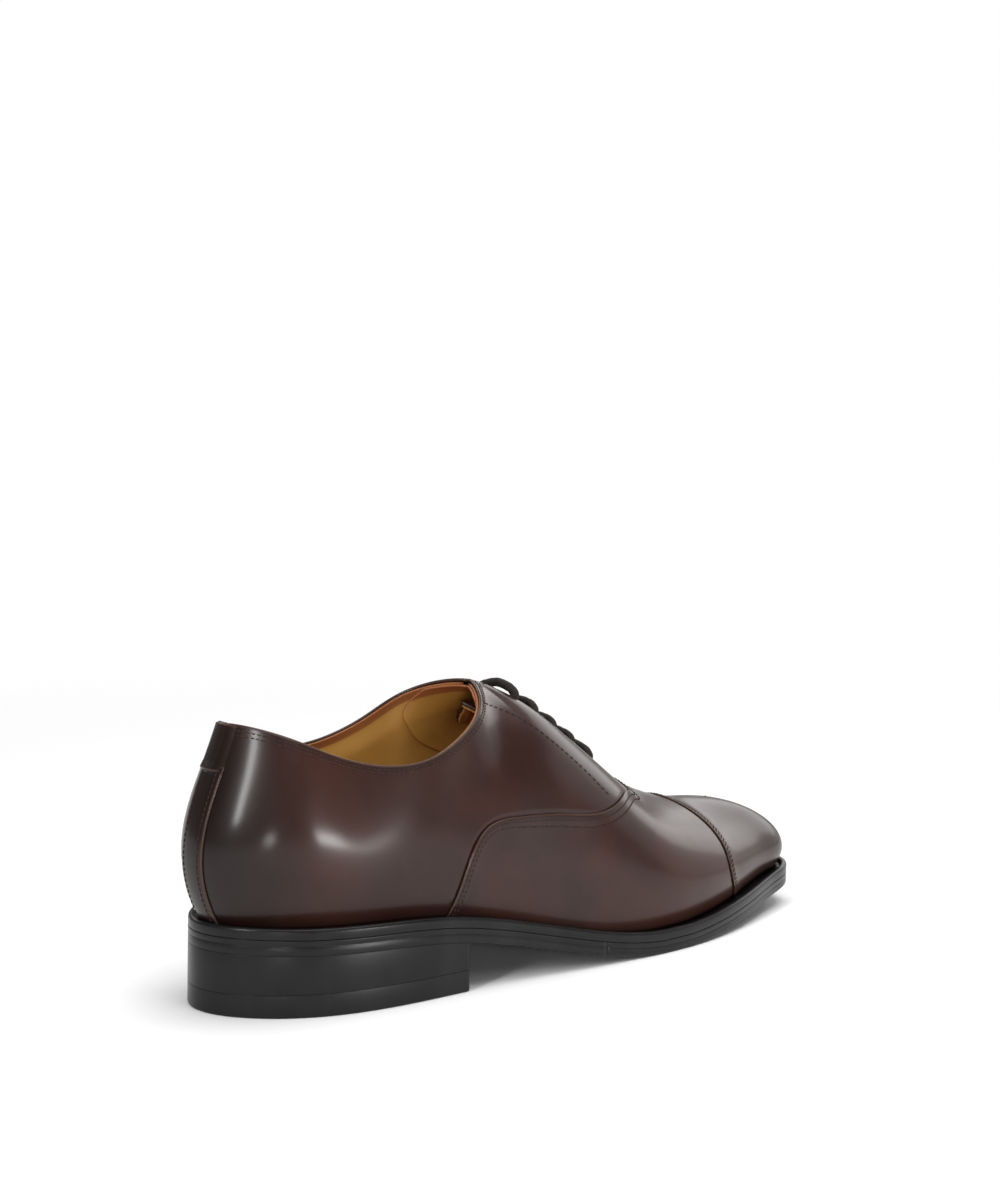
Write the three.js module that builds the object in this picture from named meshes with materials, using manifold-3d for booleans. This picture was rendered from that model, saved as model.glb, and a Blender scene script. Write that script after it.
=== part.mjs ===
// A right-foot cap-toe oxford shoe with a stitched welt, a stacked heel and five pairs of eyelets.
// Frame: millimetres, +X to the toe, +Y to the inner (medial) side, +Z up, standing on z = 0.
import * as THREE from 'three';
import { mergeVertices } from 'three/addons/utils/BufferGeometryUtils.js';
import Module from 'manifold-3d';

const wasm = await Module();
wasm.setup();

// ---- Overall sizes -------------------------------------------------------------------------
const soleLength = 300;
const ballWidth = 98;
const heelLift = 22;
const legHeight = 76;
const gap = 0.3;

// ---- Bottom: thicknesses and margins -------------------------------------------------------
const topPieceThickness = 8;
const heelBreast = 88;
const treadThickness = 1.6;
const treadStart = 152;
const soleThickness = 5.2;
const weltThickness = 3.7;
const weltLedgeDrop = 1.6;
const lipClearance = 1.3;
const weltWidth = 15;
const insoleThickness = 2.4;
const sockThickness = 1.0;
const sideMargin = 7;
const heelMargin = 4;
const toeMargin = 4;
const fillerThickness = 1.6;
const shankWidth = 15;
const shankThickness = 1.2;
const shankStart = 48;
const shankEnd = 146;
const nailRadius = 1.2;
const nailClearance = 0.4;
const nailRing = 18;
const nailCentre = 42;

// ---- Upper: layers from the outside in -----------------------------------------------------
const leatherThickness = 1.4;
const stiffenerThickness = 1.0;
const liningThickness = 1.0;
const trimThickness = 0.9;
const seamGap = 1;
const layerGap = 0.7;
const facingGap = 5;
const facingWidth = 24;
const stripWidth = 11;
const tabHeight = 17;
const tabWidth = 15;

// ---- Lacing --------------------------------------------------------------------------------
const eyeletRows = 5;
const eyeletPitch = 13;
const eyeletFirst = 10;
const eyeletInset = 10;
const eyeletHoleRadius = 2.5;
const eyeletWall = 0.8;
const eyeletThickness = 0.5;
const laceDiameter = 2.8;
const laceLane = 4.2;
const agletLength = 16;
const agletWall = 0.35;
const tongueThickness = 1.3;
const tongueTopWidth = 42;
const tongueBaseWidth = 30;
const tongueRise = 5;

// ---- The last: plan, profile and sections, drawn for a 300 x 98 mm sole ---------------------
const drawnLength = 300;
const drawnWidth = 98;
const drawnLift = 22;
const drawnLeg = 76;
const widthStations = [0, 0.1, 0.2, 0.3, 0.4, 0.5, 0.6, 0.7, 0.8, 0.9, 1];
const lateralWidths = [0, 18, 33.5, 40.5, 42.5, 48, 50, 43, 31.5, 21.5, -3];
const medialWidths = [0, 16.5, 31, 33.5, 29, 32.5, 45, 46.5, 37, 22.5, 3];
const profileX = [0, 40, 80, 110, 140, 170, 200, 225, 250, 275, 300];
const profileZ = [22, 21, 19, 13.5, 6.5, 1, 0, 2, 4.5, 7, 9.5];
const crownStations = [0, 0.1, 0.18, 0.26, 0.34, 0.4, 0.44, 0.475,
  0.52, 0.575, 0.62, 0.67, 0.73, 0.8, 0.9, 1];
const crownX = [11, 15.5, 27, 46, 72, 95, 110, 123.5, 144, 173, 193, 213, 234, 250, 261, 264];
const crownZ = [98, 97, 92.5, 85, 83, 91, 101, 106.5, 94.5, 77.5, 66, 56.5, 49.5, 47, 45.7, 45.4];
const mouthHalfWidths = [0, 12, 22, 26.5, 32, 29.5, 21.5, 0];
const ridgeLean = 5;
const bendStations = [0, 0.16, 0.34, 0.44, 0.475, 0.6, 0.7, 1];
const footReach = [0.45, 0.42, 0.36, 0.37, 0.38, 0.42, 0.43, 0.41];
const footLean = [30, 24, 16, 10, 8, 22, 30, 40];
const crownReach = [0.4, 0.4, 0.36, 0.34, 0.35, 0.4, 0.44, 0.48];
const crownFall = [72, 70, 76, 57, 20, 15, 10, 3];

// Seam lines on the last: station along the shoe, and share of the way up the section.
const facingTop = 0.475;
const vampSeamStations = [0.352, 0.372, 0.392, 0.42, 0.48, 0.548, 0.585, 0.612, 0.622];
const vampSeamHeights = [0, 0.3, 0.46, 0.5, 0.385, 0.5, 0.65, 0.82, 1];
const capSeamHeights = [0, 0.15, 0.4, 0.7, 1];
const capSeamStations = [0.714, 0.694, 0.696, 0.712, 0.728];
const liningSeam = 0.432;
const vampLiningHeight = 0.5;
const counterReach = 0.24;
const counterHeight = 0.6;
const puffStart = 0.76;
const tapeStart = 0.26;

const SIDES = ['lateral', 'medial'];
const sign = { lateral: -1, medial: 1 };
const other = { lateral: 'medial', medial: 'lateral' };
const up = new THREE.Vector3(0, 0, 1);

// A natural cubic spline through the points (xs, ys), as a function.
function spline(xs, ys) {
  const n = xs.length;
  const bend = new Array(n).fill(0);
  const upper = new Array(n).fill(0);
  const right = new Array(n).fill(0);
  for (let i = 1; i < n - 1; i += 1) {
    const before = xs[i] - xs[i - 1];
    const after = xs[i + 1] - xs[i];
    const pull = 6 * ((ys[i + 1] - ys[i]) / after - (ys[i] - ys[i - 1]) / before);
    const pivot = 2 * (before + after) - before * upper[i - 1];
    upper[i] = after / pivot;
    right[i] = (pull - before * right[i - 1]) / pivot;
  }
  for (let i = n - 2; i > 0; i -= 1) bend[i] = right[i] - upper[i] * bend[i + 1];
  return (x) => {
    let i = 0;
    while (i < n - 2 && x >= xs[i + 1]) i += 1;
    const step = xs[i + 1] - xs[i];
    const t = x - xs[i];
    const slope = (ys[i + 1] - ys[i]) / step - (step * (2 * bend[i] + bend[i + 1])) / 6;
    return ys[i] + t * (slope + t * (bend[i] / 2 + (t * (bend[i + 1] - bend[i])) / (6 * step)));
  };
}

// A spline that is level at its first and last point, as a line that crosses the shoe's middle is.
function levelSpline(xs, ys) {
  const n = xs.length;
  const before = 2 * xs[0] - xs[1];
  const after = 2 * xs[n - 1] - xs[n - 2];
  return spline([before, ...xs, after], [ys[1], ...ys, ys[n - 2]]);
}

const scaled = (list, ratio) => list.map((value) => value * ratio);
const lengthRatio = soleLength / drawnLength;
const widthRatio = ballWidth / drawnWidth;
const liftRatio = heelLift / drawnLift;
const legRatio = legHeight / drawnLeg;
const edgeThickness = soleThickness + gap + weltThickness;
const treadLine = 200 * lengthRatio;

const soleWidth = {
  lateral: spline(widthStations, scaled(lateralWidths, widthRatio)),
  medial: spline(widthStations, scaled(medialWidths, widthRatio)),
};
const sprung = spline(scaled(profileX, lengthRatio), profileZ);
const crownXAt = levelSpline(crownStations, scaled(crownX, lengthRatio));
const crownRise = levelSpline(crownStations, scaled(crownZ.map((z) => z - heelLift), legRatio));
const mouthStations = crownStations.slice(0, mouthHalfWidths.length);
const mouthWidth = spline(mouthStations, scaled(mouthHalfWidths, widthRatio));
const footReachAt = levelSpline(bendStations, footReach);
const footLeanAt = levelSpline(bendStations, footLean);
const crownReachAt = levelSpline(bendStations, crownReach);
const crownFallAt = levelSpline(bendStations, crownFall);
const vampSeamAt = spline(vampSeamStations, vampSeamHeights);
const capSeamAt = spline(capSeamHeights, capSeamStations);

const clamp = (x, low, high) => Math.min(Math.max(x, low), high);
const radians = THREE.MathUtils.degToRad;
const mix = (a, b, t) => a + (b - a) * t;

// Height of the sole's underside: flat tread, raised heel seat, sprung toe.
function underside(x) {
  const z = Math.max(sprung(clamp(x, 0, soleLength)), 0);
  return x < treadLine ? z * liftRatio : z;
}

function edgePoint(side, s) {
  if (s < 0) return edgePoint(other[side], -s);
  if (s > 1) return edgePoint(other[side], 2 - s);
  const x = (soleLength / 2) * (1 - Math.cos(Math.PI * s));
  return new THREE.Vector2(x, soleWidth[side](s) * sign[side]);
}

// A point of the sole's plan outline, moved inwards by the given inset.
function outline(side, s, inset) {
  const step = 0.004;
  const along = edgePoint(side, s + step).sub(edgePoint(side, s - step)).normalize();
  const inward = new THREE.Vector2(along.y, -along.x).multiplyScalar(sign[side]);
  return edgePoint(side, s).addScaledVector(inward, inset);
}

// The line where the upper meets the welt: closer to the edge at the heel and toe than at the sides.
function feather(side, s) {
  const end = s < 0.5 ? heelMargin : toeMargin;
  const inset = mix(end, sideMargin, THREE.MathUtils.smoothstep(Math.min(s, 1 - s), 0, 0.25));
  const p = outline(side, s, inset);
  return new THREE.Vector3(p.x, p.y, underside(p.x) + edgeThickness - weltLedgeDrop + gap);
}

// The top of each section: the topline of the mouth, then the ridge over the instep and toe.
function crown(side, s) {
  const x = crownXAt(s);
  const open = s < facingTop ? mouthWidth(s) : 0;
  const lean = (ridgeLean * x) / soleLength * clamp((x - 100) / 100, 0, 1);
  return new THREE.Vector3(x, open * sign[side] + lean, heelLift + crownRise(s));
}

// A point of the upper's outer surface at station s and share h of the section.
function skin(side, s, h) {
  if (s < 0) return skin(other[side], -s, h);
  if (s > 1) return skin(other[side], 2 - s, h);
  if (h > 1 && s >= facingTop) return skin(other[side], s, 2 - h);
  const foot = feather(side, s);
  const head = crown(side, s);
  const step = 1e-4;
  const along = feather(side, Math.min(s + step, 1)).sub(feather(side, Math.max(s - step, 0)));
  const outward = new THREE.Vector3(-along.y, along.x, 0).multiplyScalar(sign[side]).normalize();
  if (s === 0 || s === 1) outward.set(2 * s - 1, 0, 0);
  const reach = head.distanceTo(foot);
  const lean = radians(footLeanAt(s));
  const fall = radians(crownFallAt(s));
  const towards = new THREE.Vector3(foot.x - head.x, foot.y - head.y, 0).normalize();
  const wall = clamp(crownFallAt(s) / 60, 0, 1);
  towards.multiplyScalar(1 - wall).addScaledVector(outward, wall).normalize();
  const low = foot.clone().addScaledVector(outward, footReachAt(s) * reach * Math.sin(lean));
  low.addScaledVector(up, footReachAt(s) * reach * Math.cos(lean));
  const high = head.clone().addScaledVector(towards, crownReachAt(s) * reach * Math.cos(fall));
  high.addScaledVector(up, -crownReachAt(s) * reach * Math.sin(fall));
  return new THREE.CubicBezierCurve3(foot, low, high, head).getPoint(h);
}

// Outward normal of the skin.
function skinNormal(side, s, h) {
  if (s > 0.995 && h > 0.995) return skinNormal(side, 0.99, 1);
  const step = 0.002;
  const along = skin(side, s + step, h).sub(skin(side, s - step, h));
  const top = s >= facingTop ? h + step : Math.min(h + step, 1);
  const across = skin(side, s, top).sub(skin(side, s, Math.max(h - step, 0)));
  return along.cross(across).multiplyScalar(-sign[side]).normalize();
}

// The share h that lies the given distance down the section from the ridge.
function downFromRidge(side, s, distance) {
  const step = 0.005;
  let h = 1;
  let last = skin(side, s, h);
  let walked = 0;
  while (h > 0.1) {
    const next = skin(side, s, h - step);
    const length = next.distanceTo(last);
    if (walked + length > distance) return h - (step * (distance - walked)) / length;
    walked += length;
    last = next;
    h -= step;
  }
  return h;
}

// The station that lies the given distance down the ridge from the facing's top.
function alongRidge(distance) {
  const step = 0.001;
  let s = facingTop;
  let walked = 0;
  while (walked < distance) {
    walked += crown('medial', s + step).distanceTo(crown('medial', s));
    s += step;
  }
  return s;
}

// ---- Solids --------------------------------------------------------------------------------
const shoe = new THREE.Group();

function material(color, roughness, metalness = 0) {
  return new THREE.MeshStandardMaterial({ color, roughness, metalness });
}

const chestnut = () => material(0x3f2b28, 0.35);
const tanLeather = () => material(0x9a6a35, 0.7);
const blackRubber = () => material(0x1d1c1d, 0.5);

function addMesh(name, geometry, finish) {
  const mesh = new THREE.Mesh(geometry, finish);
  mesh.name = name;
  shoe.add(mesh);
  return mesh;
}

function indexed(points, faces) {
  const geometry = new THREE.BufferGeometry();
  const values = points.flatMap((p) => [p.x, p.y, p.z]);
  geometry.setAttribute('position', new THREE.Float32BufferAttribute(values, 3));
  geometry.setIndex(faces.flat());
  return geometry;
}

// Turns a closed mesh the right way out.
function facingOut(points, faces) {
  let volume = 0;
  for (const [a, b, c] of faces) volume += points[a].dot(points[b].clone().cross(points[c]));
  const turned = volume < 0 ? faces.map(([a, b, c]) => [a, c, b]) : faces;
  return indexed(points, turned);
}

// A sheet on the last: quads from several grids whose shared edges are joined.
class Sheet {
  constructor() {
    this.points = [];
    this.normals = [];
    this.faces = [];
    this.known = new Map();
  }

  vertex({ point, normal }) {
    const key = [point.x, point.y, point.z].map((value) => Math.round(value * 200)).join();
    if (!this.known.has(key)) {
      this.known.set(key, this.points.length);
      this.points.push(point);
      this.normals.push(new THREE.Vector3());
    }
    const index = this.known.get(key);
    this.normals[index].add(normal);
    return index;
  }

  // place(u, v) gives the point and normal, u and v from 0 to 1.
  grid(columns, rows, place, reversed = false) {
    const index = [];
    for (let i = 0; i <= columns; i += 1) {
      index.push([]);
      for (let j = 0; j <= rows; j += 1) index[i].push(this.vertex(place(i / columns, j / rows)));
    }
    for (let i = 0; i < columns; i += 1) {
      for (let j = 0; j < rows; j += 1) {
        const [a, b, c, d] = [index[i][j], index[i + 1][j], index[i + 1][j + 1], index[i][j + 1]];
        for (const [p, q, r] of [[a, b, c], [a, c, d]]) {
          if (p !== q && q !== r && r !== p) this.faces.push(reversed ? [p, r, q] : [p, q, r]);
        }
      }
    }
    return this;
  }

  // The solid between the two depths below the sheet.
  thicken(outer, inner) {
    const count = this.points.length;
    const units = this.normals.map((normal) => normal.clone().normalize());
    const shifted = (depth) => this.points.map((p, i) => p.clone().addScaledVector(units[i], -depth));
    const edges = new Map();
    for (const face of this.faces) {
      for (let k = 0; k < 3; k += 1) {
        const [a, b] = [face[k], face[(k + 1) % 3]];
        if (edges.has(`${b},${a}`)) edges.delete(`${b},${a}`);
        else edges.set(`${a},${b}`, [a, b]);
      }
    }
    const faces = [...this.faces, ...this.faces.map(([a, b, c]) => [a + count, c + count, b + count])];
    for (const [a, b] of edges.values()) faces.push([a, a + count, b], [b, a + count, b + count]);
    return facingOut([...shifted(outer), ...shifted(inner)], faces);
  }
}

const onSkin = (side, s, h) => ({ point: skin(side, s, h), normal: skinNormal(side, s, h) });

// A grid on one side of the last, from bottom(s) to top(s) at each station.
function band(sheet, side, from, to, columns, rows, bottom, top) {
  const place = (u, v) => {
    const s = mix(from, to, u);
    return onSkin(side, s, mix(bottom(s), top(s), v));
  };
  return sheet.grid(columns, rows, place, side === 'medial');
}

function toSolid(geometry) {
  const merged = mergeVertices(geometry, 1e-4);
  const mesh = new wasm.Mesh({
    numProp: 3,
    vertProperties: new Float32Array(merged.attributes.position.array),
    triVerts: new Uint32Array(merged.index.array),
  });
  return new wasm.Manifold(mesh);
}

function toGeometry(solid) {
  const mesh = solid.getMesh();
  const geometry = new THREE.BufferGeometry();
  geometry.setAttribute('position', new THREE.Float32BufferAttribute(mesh.vertProperties, 3));
  geometry.setIndex([...mesh.triVerts]);
  return geometry;
}

// A cylinder between two points, as a geometry in place.
function rod(from, to, radius, sidesCount = 12) {
  const axis = to.clone().sub(from);
  const geometry = new THREE.CylinderGeometry(radius, radius, axis.length(), sidesCount);
  geometry.deleteAttribute('normal');
  geometry.deleteAttribute('uv');
  const turn = new THREE.Quaternion().setFromUnitVectors(new THREE.Vector3(0, 1, 0), axis.normalize());
  geometry.applyQuaternion(turn);
  const middle = from.clone().add(to).multiplyScalar(0.5);
  return geometry.translate(middle.x, middle.y, middle.z);
}

function drilled(geometry, rods) {
  let solid = toSolid(geometry);
  for (const hole of rods) solid = solid.subtract(toSolid(hole));
  return toGeometry(solid);
}

// ---- Bottom --------------------------------------------------------------------------------
const stationAt = (x) => Math.acos(1 - (2 * clamp(x, 0, soleLength)) / soleLength) / Math.PI;

// A plate cut to the sole's plan less an inset; low(x) and high(x) are its two faces.
function plate(fromX, toX, inset, low, high, columns) {
  const start = stationAt(fromX);
  const end = stationAt(toX);
  const points = [];
  const faces = [];
  for (let i = 0; i <= columns; i += 1) {
    const s = mix(start, end, i / columns);
    const left = outline('medial', s, inset);
    const right = outline('lateral', s, inset);
    for (const [p, height] of [[right, low], [left, low], [left, high], [right, high]]) {
      points.push(new THREE.Vector3(p.x, p.y, height(p.x)));
    }
  }
  for (let i = 0; i < columns; i += 1) {
    for (let k = 0; k < 4; k += 1) {
      const [a, b] = [i * 4 + k, i * 4 + ((k + 1) % 4)];
      faces.push([a, b, b + 4], [a, b + 4, a + 4]);
    }
  }
  const last = columns * 4;
  faces.push([0, 2, 1], [0, 3, 2], [last, last + 1, last + 2], [last, last + 2, last + 3]);
  const merged = mergeVertices(facingOut(points, faces), 1e-3);
  const index = merged.index.array;
  const kept = [];
  for (let i = 0; i < index.length; i += 3) {
    const [a, b, c] = [index[i], index[i + 1], index[i + 2]];
    if (a !== b && b !== c && c !== a) kept.push(a, b, c);
  }
  merged.setIndex(kept);
  return merged;
}

const above = (offset) => (x) => underside(x) + offset;
const flat = (z) => () => z;
const treadGap = treadStart - gap;

addMesh('top_piece', plate(0, heelBreast, 0, flat(0), flat(topPieceThickness), 20), blackRubber());

const nailSpots = [0, 1, 2, 3, 4].map((i) => {
  const angle = radians(90 + i * 45);
  return new THREE.Vector2(nailCentre + nailRing * Math.cos(angle), nailRing * 0.95 * Math.sin(angle));
});
const blockBase = topPieceThickness + gap;
const blockHoles = nailSpots.map(({ x, y }) => {
  const low = new THREE.Vector3(x, y, blockBase - 5);
  return rod(low, new THREE.Vector3(x, y, underside(x) + 5), nailRadius + nailClearance);
});
const block = plate(0, heelBreast, 0, flat(blockBase), above(-gap), 20);
addMesh('heel_block', drilled(block, blockHoles), blackRubber());
nailSpots.forEach(({ x, y }, i) => {
  const low = new THREE.Vector3(x, y, blockBase + 0.5);
  const nail = rod(low, new THREE.Vector3(x, y, underside(x) - 1), nailRadius);
  addMesh(`heel_nail_${i + 1}`, nail, material(0x8d8a85, 0.35, 1));
});

const rear = toSolid(plate(0, treadGap, 0, above(0), above(soleThickness), 26));
const front = toSolid(plate(treadGap, soleLength, 0, above(treadThickness + gap), above(soleThickness), 26));
addMesh('outsole', toGeometry(rear.add(front)), blackRubber());
addMesh('tread_sole', plate(treadStart, soleLength, 0, above(0), above(treadThickness), 26), blackRubber());

// The welt is a band round the whole edge, with a low ledge on which the upper stands.
const weltBase = soleThickness + gap;
const weltTop = edgeThickness;
const weltLipWidth = Math.min(heelMargin, toeMargin) - lipClearance;
const ledge = weltTop - weltLedgeDrop;
const weltSection = [[0, weltBase], [0, weltTop], [weltLipWidth, weltTop], [weltLipWidth, ledge],
  [weltWidth, ledge], [weltWidth, weltBase]];
const weltSteps = 72;
const weltPoints = [];
const weltFaces = [];
for (let i = 0; i < weltSteps; i += 1) {
  const turn = (2 * i) / weltSteps;
  const side = turn < 1 ? 'lateral' : 'medial';
  const s = turn < 1 ? turn : 2 - turn;
  for (const [inset, offset] of weltSection) {
    const p = outline(side, s, inset);
    weltPoints.push(new THREE.Vector3(p.x, p.y, underside(p.x) + offset));
  }
  for (let k = 0; k < weltSection.length; k += 1) {
    const n = weltSection.length;
    const next = ((i + 1) % weltSteps) * n;
    const [a, b] = [i * n + k, i * n + ((k + 1) % n)];
    const [c, d] = [next + ((k + 1) % n), next + k];
    weltFaces.push([a, b, c], [a, c, d]);
  }
}
addMesh('welt', facingOut(weltPoints, weltFaces), blackRubber());

const fillerInset = weltWidth + gap;
const fillerTop = weltBase + fillerThickness;
const fillerFront = soleLength - fillerInset;
addMesh('cork_filler', plate(shankEnd + 6, fillerFront, fillerInset, above(weltBase), above(fillerTop), 16),
  material(0x8a6a45, 0.9));

const shankPoints = [];
const shankFaces = [];
const shankSteps = 12;
for (let i = 0; i <= shankSteps; i += 1) {
  const x = mix(shankStart, shankEnd, i / shankSteps);
  const width = (shankWidth / 2) * (i === 0 || i === shankSteps ? 0.7 : 1);
  const z = underside(x) + weltBase;
  const centre = (edgePoint('lateral', stationAt(x)).y + edgePoint('medial', stationAt(x)).y) / 2;
  for (const [across, lift] of [[-1, 0], [1, 0], [1, shankThickness], [-1, shankThickness]]) {
    shankPoints.push(new THREE.Vector3(x, centre + across * width, z + lift));
  }
  if (i < shankSteps) {
    for (let k = 0; k < 4; k += 1) {
      const [a, b] = [i * 4 + k, i * 4 + ((k + 1) % 4)];
      shankFaces.push([a, b, b + 4], [a, b + 4, a + 4]);
    }
  }
}
const shankLast = shankSteps * 4;
shankFaces.push([0, 2, 1], [0, 3, 2]);
shankFaces.push([shankLast, shankLast + 1, shankLast + 2], [shankLast, shankLast + 2, shankLast + 3]);
addMesh('shank', facingOut(shankPoints, shankFaces), material(0x777a7d, 0.4, 1));

// The insole board and the leather sock on it lie inside the foot of the upper.
const wallDepth = leatherThickness + stiffenerThickness + liningThickness + 2 * layerGap;
const insoleInset = sideMargin + wallDepth + 2.2;
const insoleBase = ledge + gap;
const insoleTop = insoleBase + insoleThickness;
const insoleEnd = soleLength - insoleInset;
const insole = plate(insoleInset, insoleEnd, insoleInset, above(insoleBase), above(insoleTop), 30);
addMesh('insole_board', insole, material(0xa98f6a, 0.9));
const sockInset = insoleInset + gap;
const sockBase = insoleTop + gap;
const sockEnd = soleLength - sockInset;
addMesh('sock', plate(sockInset, sockEnd, sockInset, above(sockBase), above(sockBase + sockThickness), 30),
  tanLeather());

// ---- Upper ---------------------------------------------------------------------------------
const stationScale = (Math.PI / 2) * soleLength;
const sectionScale = 80;

// The vamp's edge, moved towards the topline by the given distance.
function vampEdge(s, distance) {
  const step = 0.001;
  const rise = (vampSeamAt(s + step) - vampSeamAt(s - step)) / (2 * step);
  const tilt = (rise * sectionScale) / stationScale;
  return vampSeamAt(s) + (distance * Math.hypot(1, tilt)) / sectionScale;
}

const seamStart = vampSeamStations[0];
const throat = vampSeamStations[vampSeamStations.length - 1];
const throatSide = 0.58;
const quarterFoot = (s) => (s <= seamStart ? 0 : Math.max(vampEdge(s, seamGap / 2), 0));
const vampTop = (s) => (s > throat - 1e-6 ? 1 : clamp(vampEdge(s, -seamGap / 2), 0, 1));
const facingCorner = 0.012;

// The top edge of the quarter: the topline, then the facing's edge beside the ridge.
const facingEdge = (side) => (s) => {
  if (s <= facingTop + 1e-9) return 1;
  const opening = clamp((s - facingTop) / facingCorner, 0, 1) ** 0.5;
  return downFromRidge(side, s, (facingGap / 2) * opening);
};

// The station where the facing's edge runs out on the vamp's edge.
function facingEnd(side) {
  let s = throat;
  while (facingEdge(side)(s) - vampEdge(Math.min(s, throat - 0.001), seamGap) < 0.02) s -= 0.001;
  return s;
}

const rows = [];
for (let row = 0; row < eyeletRows; row += 1) {
  rows.push(alongRidge(eyeletFirst + row * eyeletPitch));
}

function eyeletFrame(side, row) {
  const s = rows[row];
  const h = downFromRidge(side, s, facingGap / 2 + eyeletInset);
  const point = skin(side, s, h);
  const normal = skinNormal(side, s, h);
  const inward = skin(side, s, h + 0.01).sub(point).normalize();
  const down = normal.clone().cross(inward).multiplyScalar(sign[side]).normalize();
  return { point, normal, inward, down };
}

function eyeletRods(side, radius) {
  return rows.map((_, row) => {
    const { point, normal } = eyeletFrame(side, row);
    const from = point.clone().addScaledVector(normal, 3);
    return rod(from, point.clone().addScaledVector(normal, -8), radius);
  });
}

const laceRadius = laceDiameter / 2;
const heelSplit = 0.0015;
const stiffenerTop = leatherThickness + layerGap;
const stiffenerBase = stiffenerTop + stiffenerThickness;
const liningTop = stiffenerBase + layerGap;
const liningBase = liningTop + liningThickness;
const liningFoot = 0.012;
const facingEndOf = { lateral: facingEnd('lateral'), medial: facingEnd('medial') };

for (const side of SIDES) {
  const top = facingEdge(side);
  const end = facingEndOf[side];

  const quarter = new Sheet();
  band(quarter, side, heelSplit, seamStart, 14, 7, quarterFoot, () => 1);
  band(quarter, side, seamStart, facingTop, 7, 7, quarterFoot, () => 1);
  band(quarter, side, facingTop, throatSide, 7, 7, quarterFoot, top);
  band(quarter, side, throatSide, end, 5, 7, quarterFoot, top);
  const holes = eyeletRods(side, eyeletHoleRadius);
  addMesh(`quarter_${side}`, drilled(quarter.thicken(0, leatherThickness), holes), chestnut());

  const lining = new Sheet();
  band(lining, side, 2 * heelSplit, liningSeam - 0.001, 12, 5, () => liningFoot, () => 1);
  addMesh(`quarter_lining_${side}`, lining.thicken(liningTop, liningBase), tanLeather());

  const facing = new Sheet();
  band(facing, side, liningSeam, facingTop, 3, 4, () => vampLiningHeight + 0.005, () => 1);
  band(facing, side, facingTop, end - 0.004, 9, 4, () => vampLiningHeight + 0.005, top);
  const holeClearance = Math.max(eyeletWall + 2 * gap, laceRadius + layerGap);
  const ringHoles = eyeletRods(side, eyeletHoleRadius + holeClearance);
  addMesh(`facing_lining_${side}`, drilled(facing.thicken(liningTop, liningBase), ringHoles), chestnut());

  const stay = new Sheet();
  const stayEnd = rows[eyeletRows - 1] + 0.012;
  const stayLow = (s) => downFromRidge(side, s, facingWidth - 4);
  const stayHigh = (s) => downFromRidge(side, s, facingGap / 2 + 1.5);
  band(stay, side, facingTop + 0.006, stayEnd, 7, 2, stayLow, stayHigh);
  addMesh(`eyelet_stay_${side}`, drilled(stay.thicken(stiffenerTop, stiffenerBase), ringHoles),
    material(0xd8cdb8, 0.9));

  const tape = new Sheet();
  band(tape, side, tapeStart, facingTop - 0.03, 10, 1, () => 0.93, () => 0.985);
  const web = tape.thicken(stiffenerTop + 0.2, stiffenerBase - 0.3);
  addMesh(`topline_tape_${side}`, web, material(0xcfc7b6, 0.9));
}

const vamp = new Sheet();
const toeCap = new Sheet();
const vampLining = new Sheet();
const toePuff = new Sheet();
for (const side of SIDES) {
  band(vamp, side, seamStart, throatSide, 9, 7, () => 0, vampTop);
  band(vamp, side, throatSide, throat, 6, 7, () => 0, vampTop);
  const capEdge = (h, distance) => capSeamAt(h) + distance / stationScale;
  vamp.grid(6, 7, (u, v) => onSkin(side, mix(throat, capEdge(v, -seamGap / 2), u), v), side === 'medial');
  toeCap.grid(10, 8, (u, v) => onSkin(side, mix(capEdge(v, seamGap / 2), 1, u), v), side === 'medial');
  const low = () => liningFoot;
  const shelf = () => vampLiningHeight;
  band(vampLining, side, liningSeam, facingEndOf.medial, 8, 3, low, shelf);
  band(vampLining, side, facingEndOf.medial, 1, 16, 3, low, shelf);
  band(vampLining, side, facingEndOf.medial, 1, 16, 3, shelf, () => 1);
  band(toePuff, side, puffStart, 1, 8, 6, () => 0.02, () => 1);
}
addMesh('vamp', vamp.thicken(0, leatherThickness), chestnut());
addMesh('toe_cap', toeCap.thicken(0, leatherThickness), chestnut());
addMesh('vamp_lining', vampLining.thicken(liningTop, liningBase), tanLeather());
addMesh('toe_puff', toePuff.thicken(stiffenerTop, stiffenerBase), material(0xbdb39c, 0.9));

const counter = new Sheet();
for (const side of SIDES) {
  const height = (s) => counterHeight * Math.sqrt(1 - 0.6 * (s / counterReach) ** 2);
  band(counter, side, 0, counterReach, 9, 4, () => 0.02, height);
}
addMesh('heel_counter', counter.thicken(stiffenerTop, stiffenerBase), material(0x8b7355, 0.9));

// The strip over the back seam, and the small tab that caps it.
const tabFoot = 1 - tabHeight / sectionScale;
const halfAround = (width, h) => {
  let s = 0;
  while (Math.abs(skin('lateral', s, h).y) < width / 2) s += 0.0005;
  return s;
};
const strip = new Sheet();
const tab = new Sheet();
for (const side of SIDES) {
  const onBack = (width, low, high) => (u, v) => {
    const h = mix(low, high, v);
    return onSkin(side, halfAround(width, h) * u, h);
  };
  strip.grid(2, 14, onBack(stripWidth, 0.03, tabFoot - 0.005), side === 'medial');
  tab.grid(3, 4, onBack(tabWidth, tabFoot, 0.985), side === 'medial');
}
addMesh('backstay', strip.thicken(-gap - trimThickness, -gap), chestnut());
addMesh('heel_tab', tab.thicken(-gap - trimThickness, -gap), chestnut());

// ---- Tongue --------------------------------------------------------------------------------
const laceDepth = liningBase + layerGap + laceRadius;
const tongueDepth = laceDepth + laceRadius + layerGap;
const tongueBase = rows[eyeletRows - 1] + 0.008;

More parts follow.
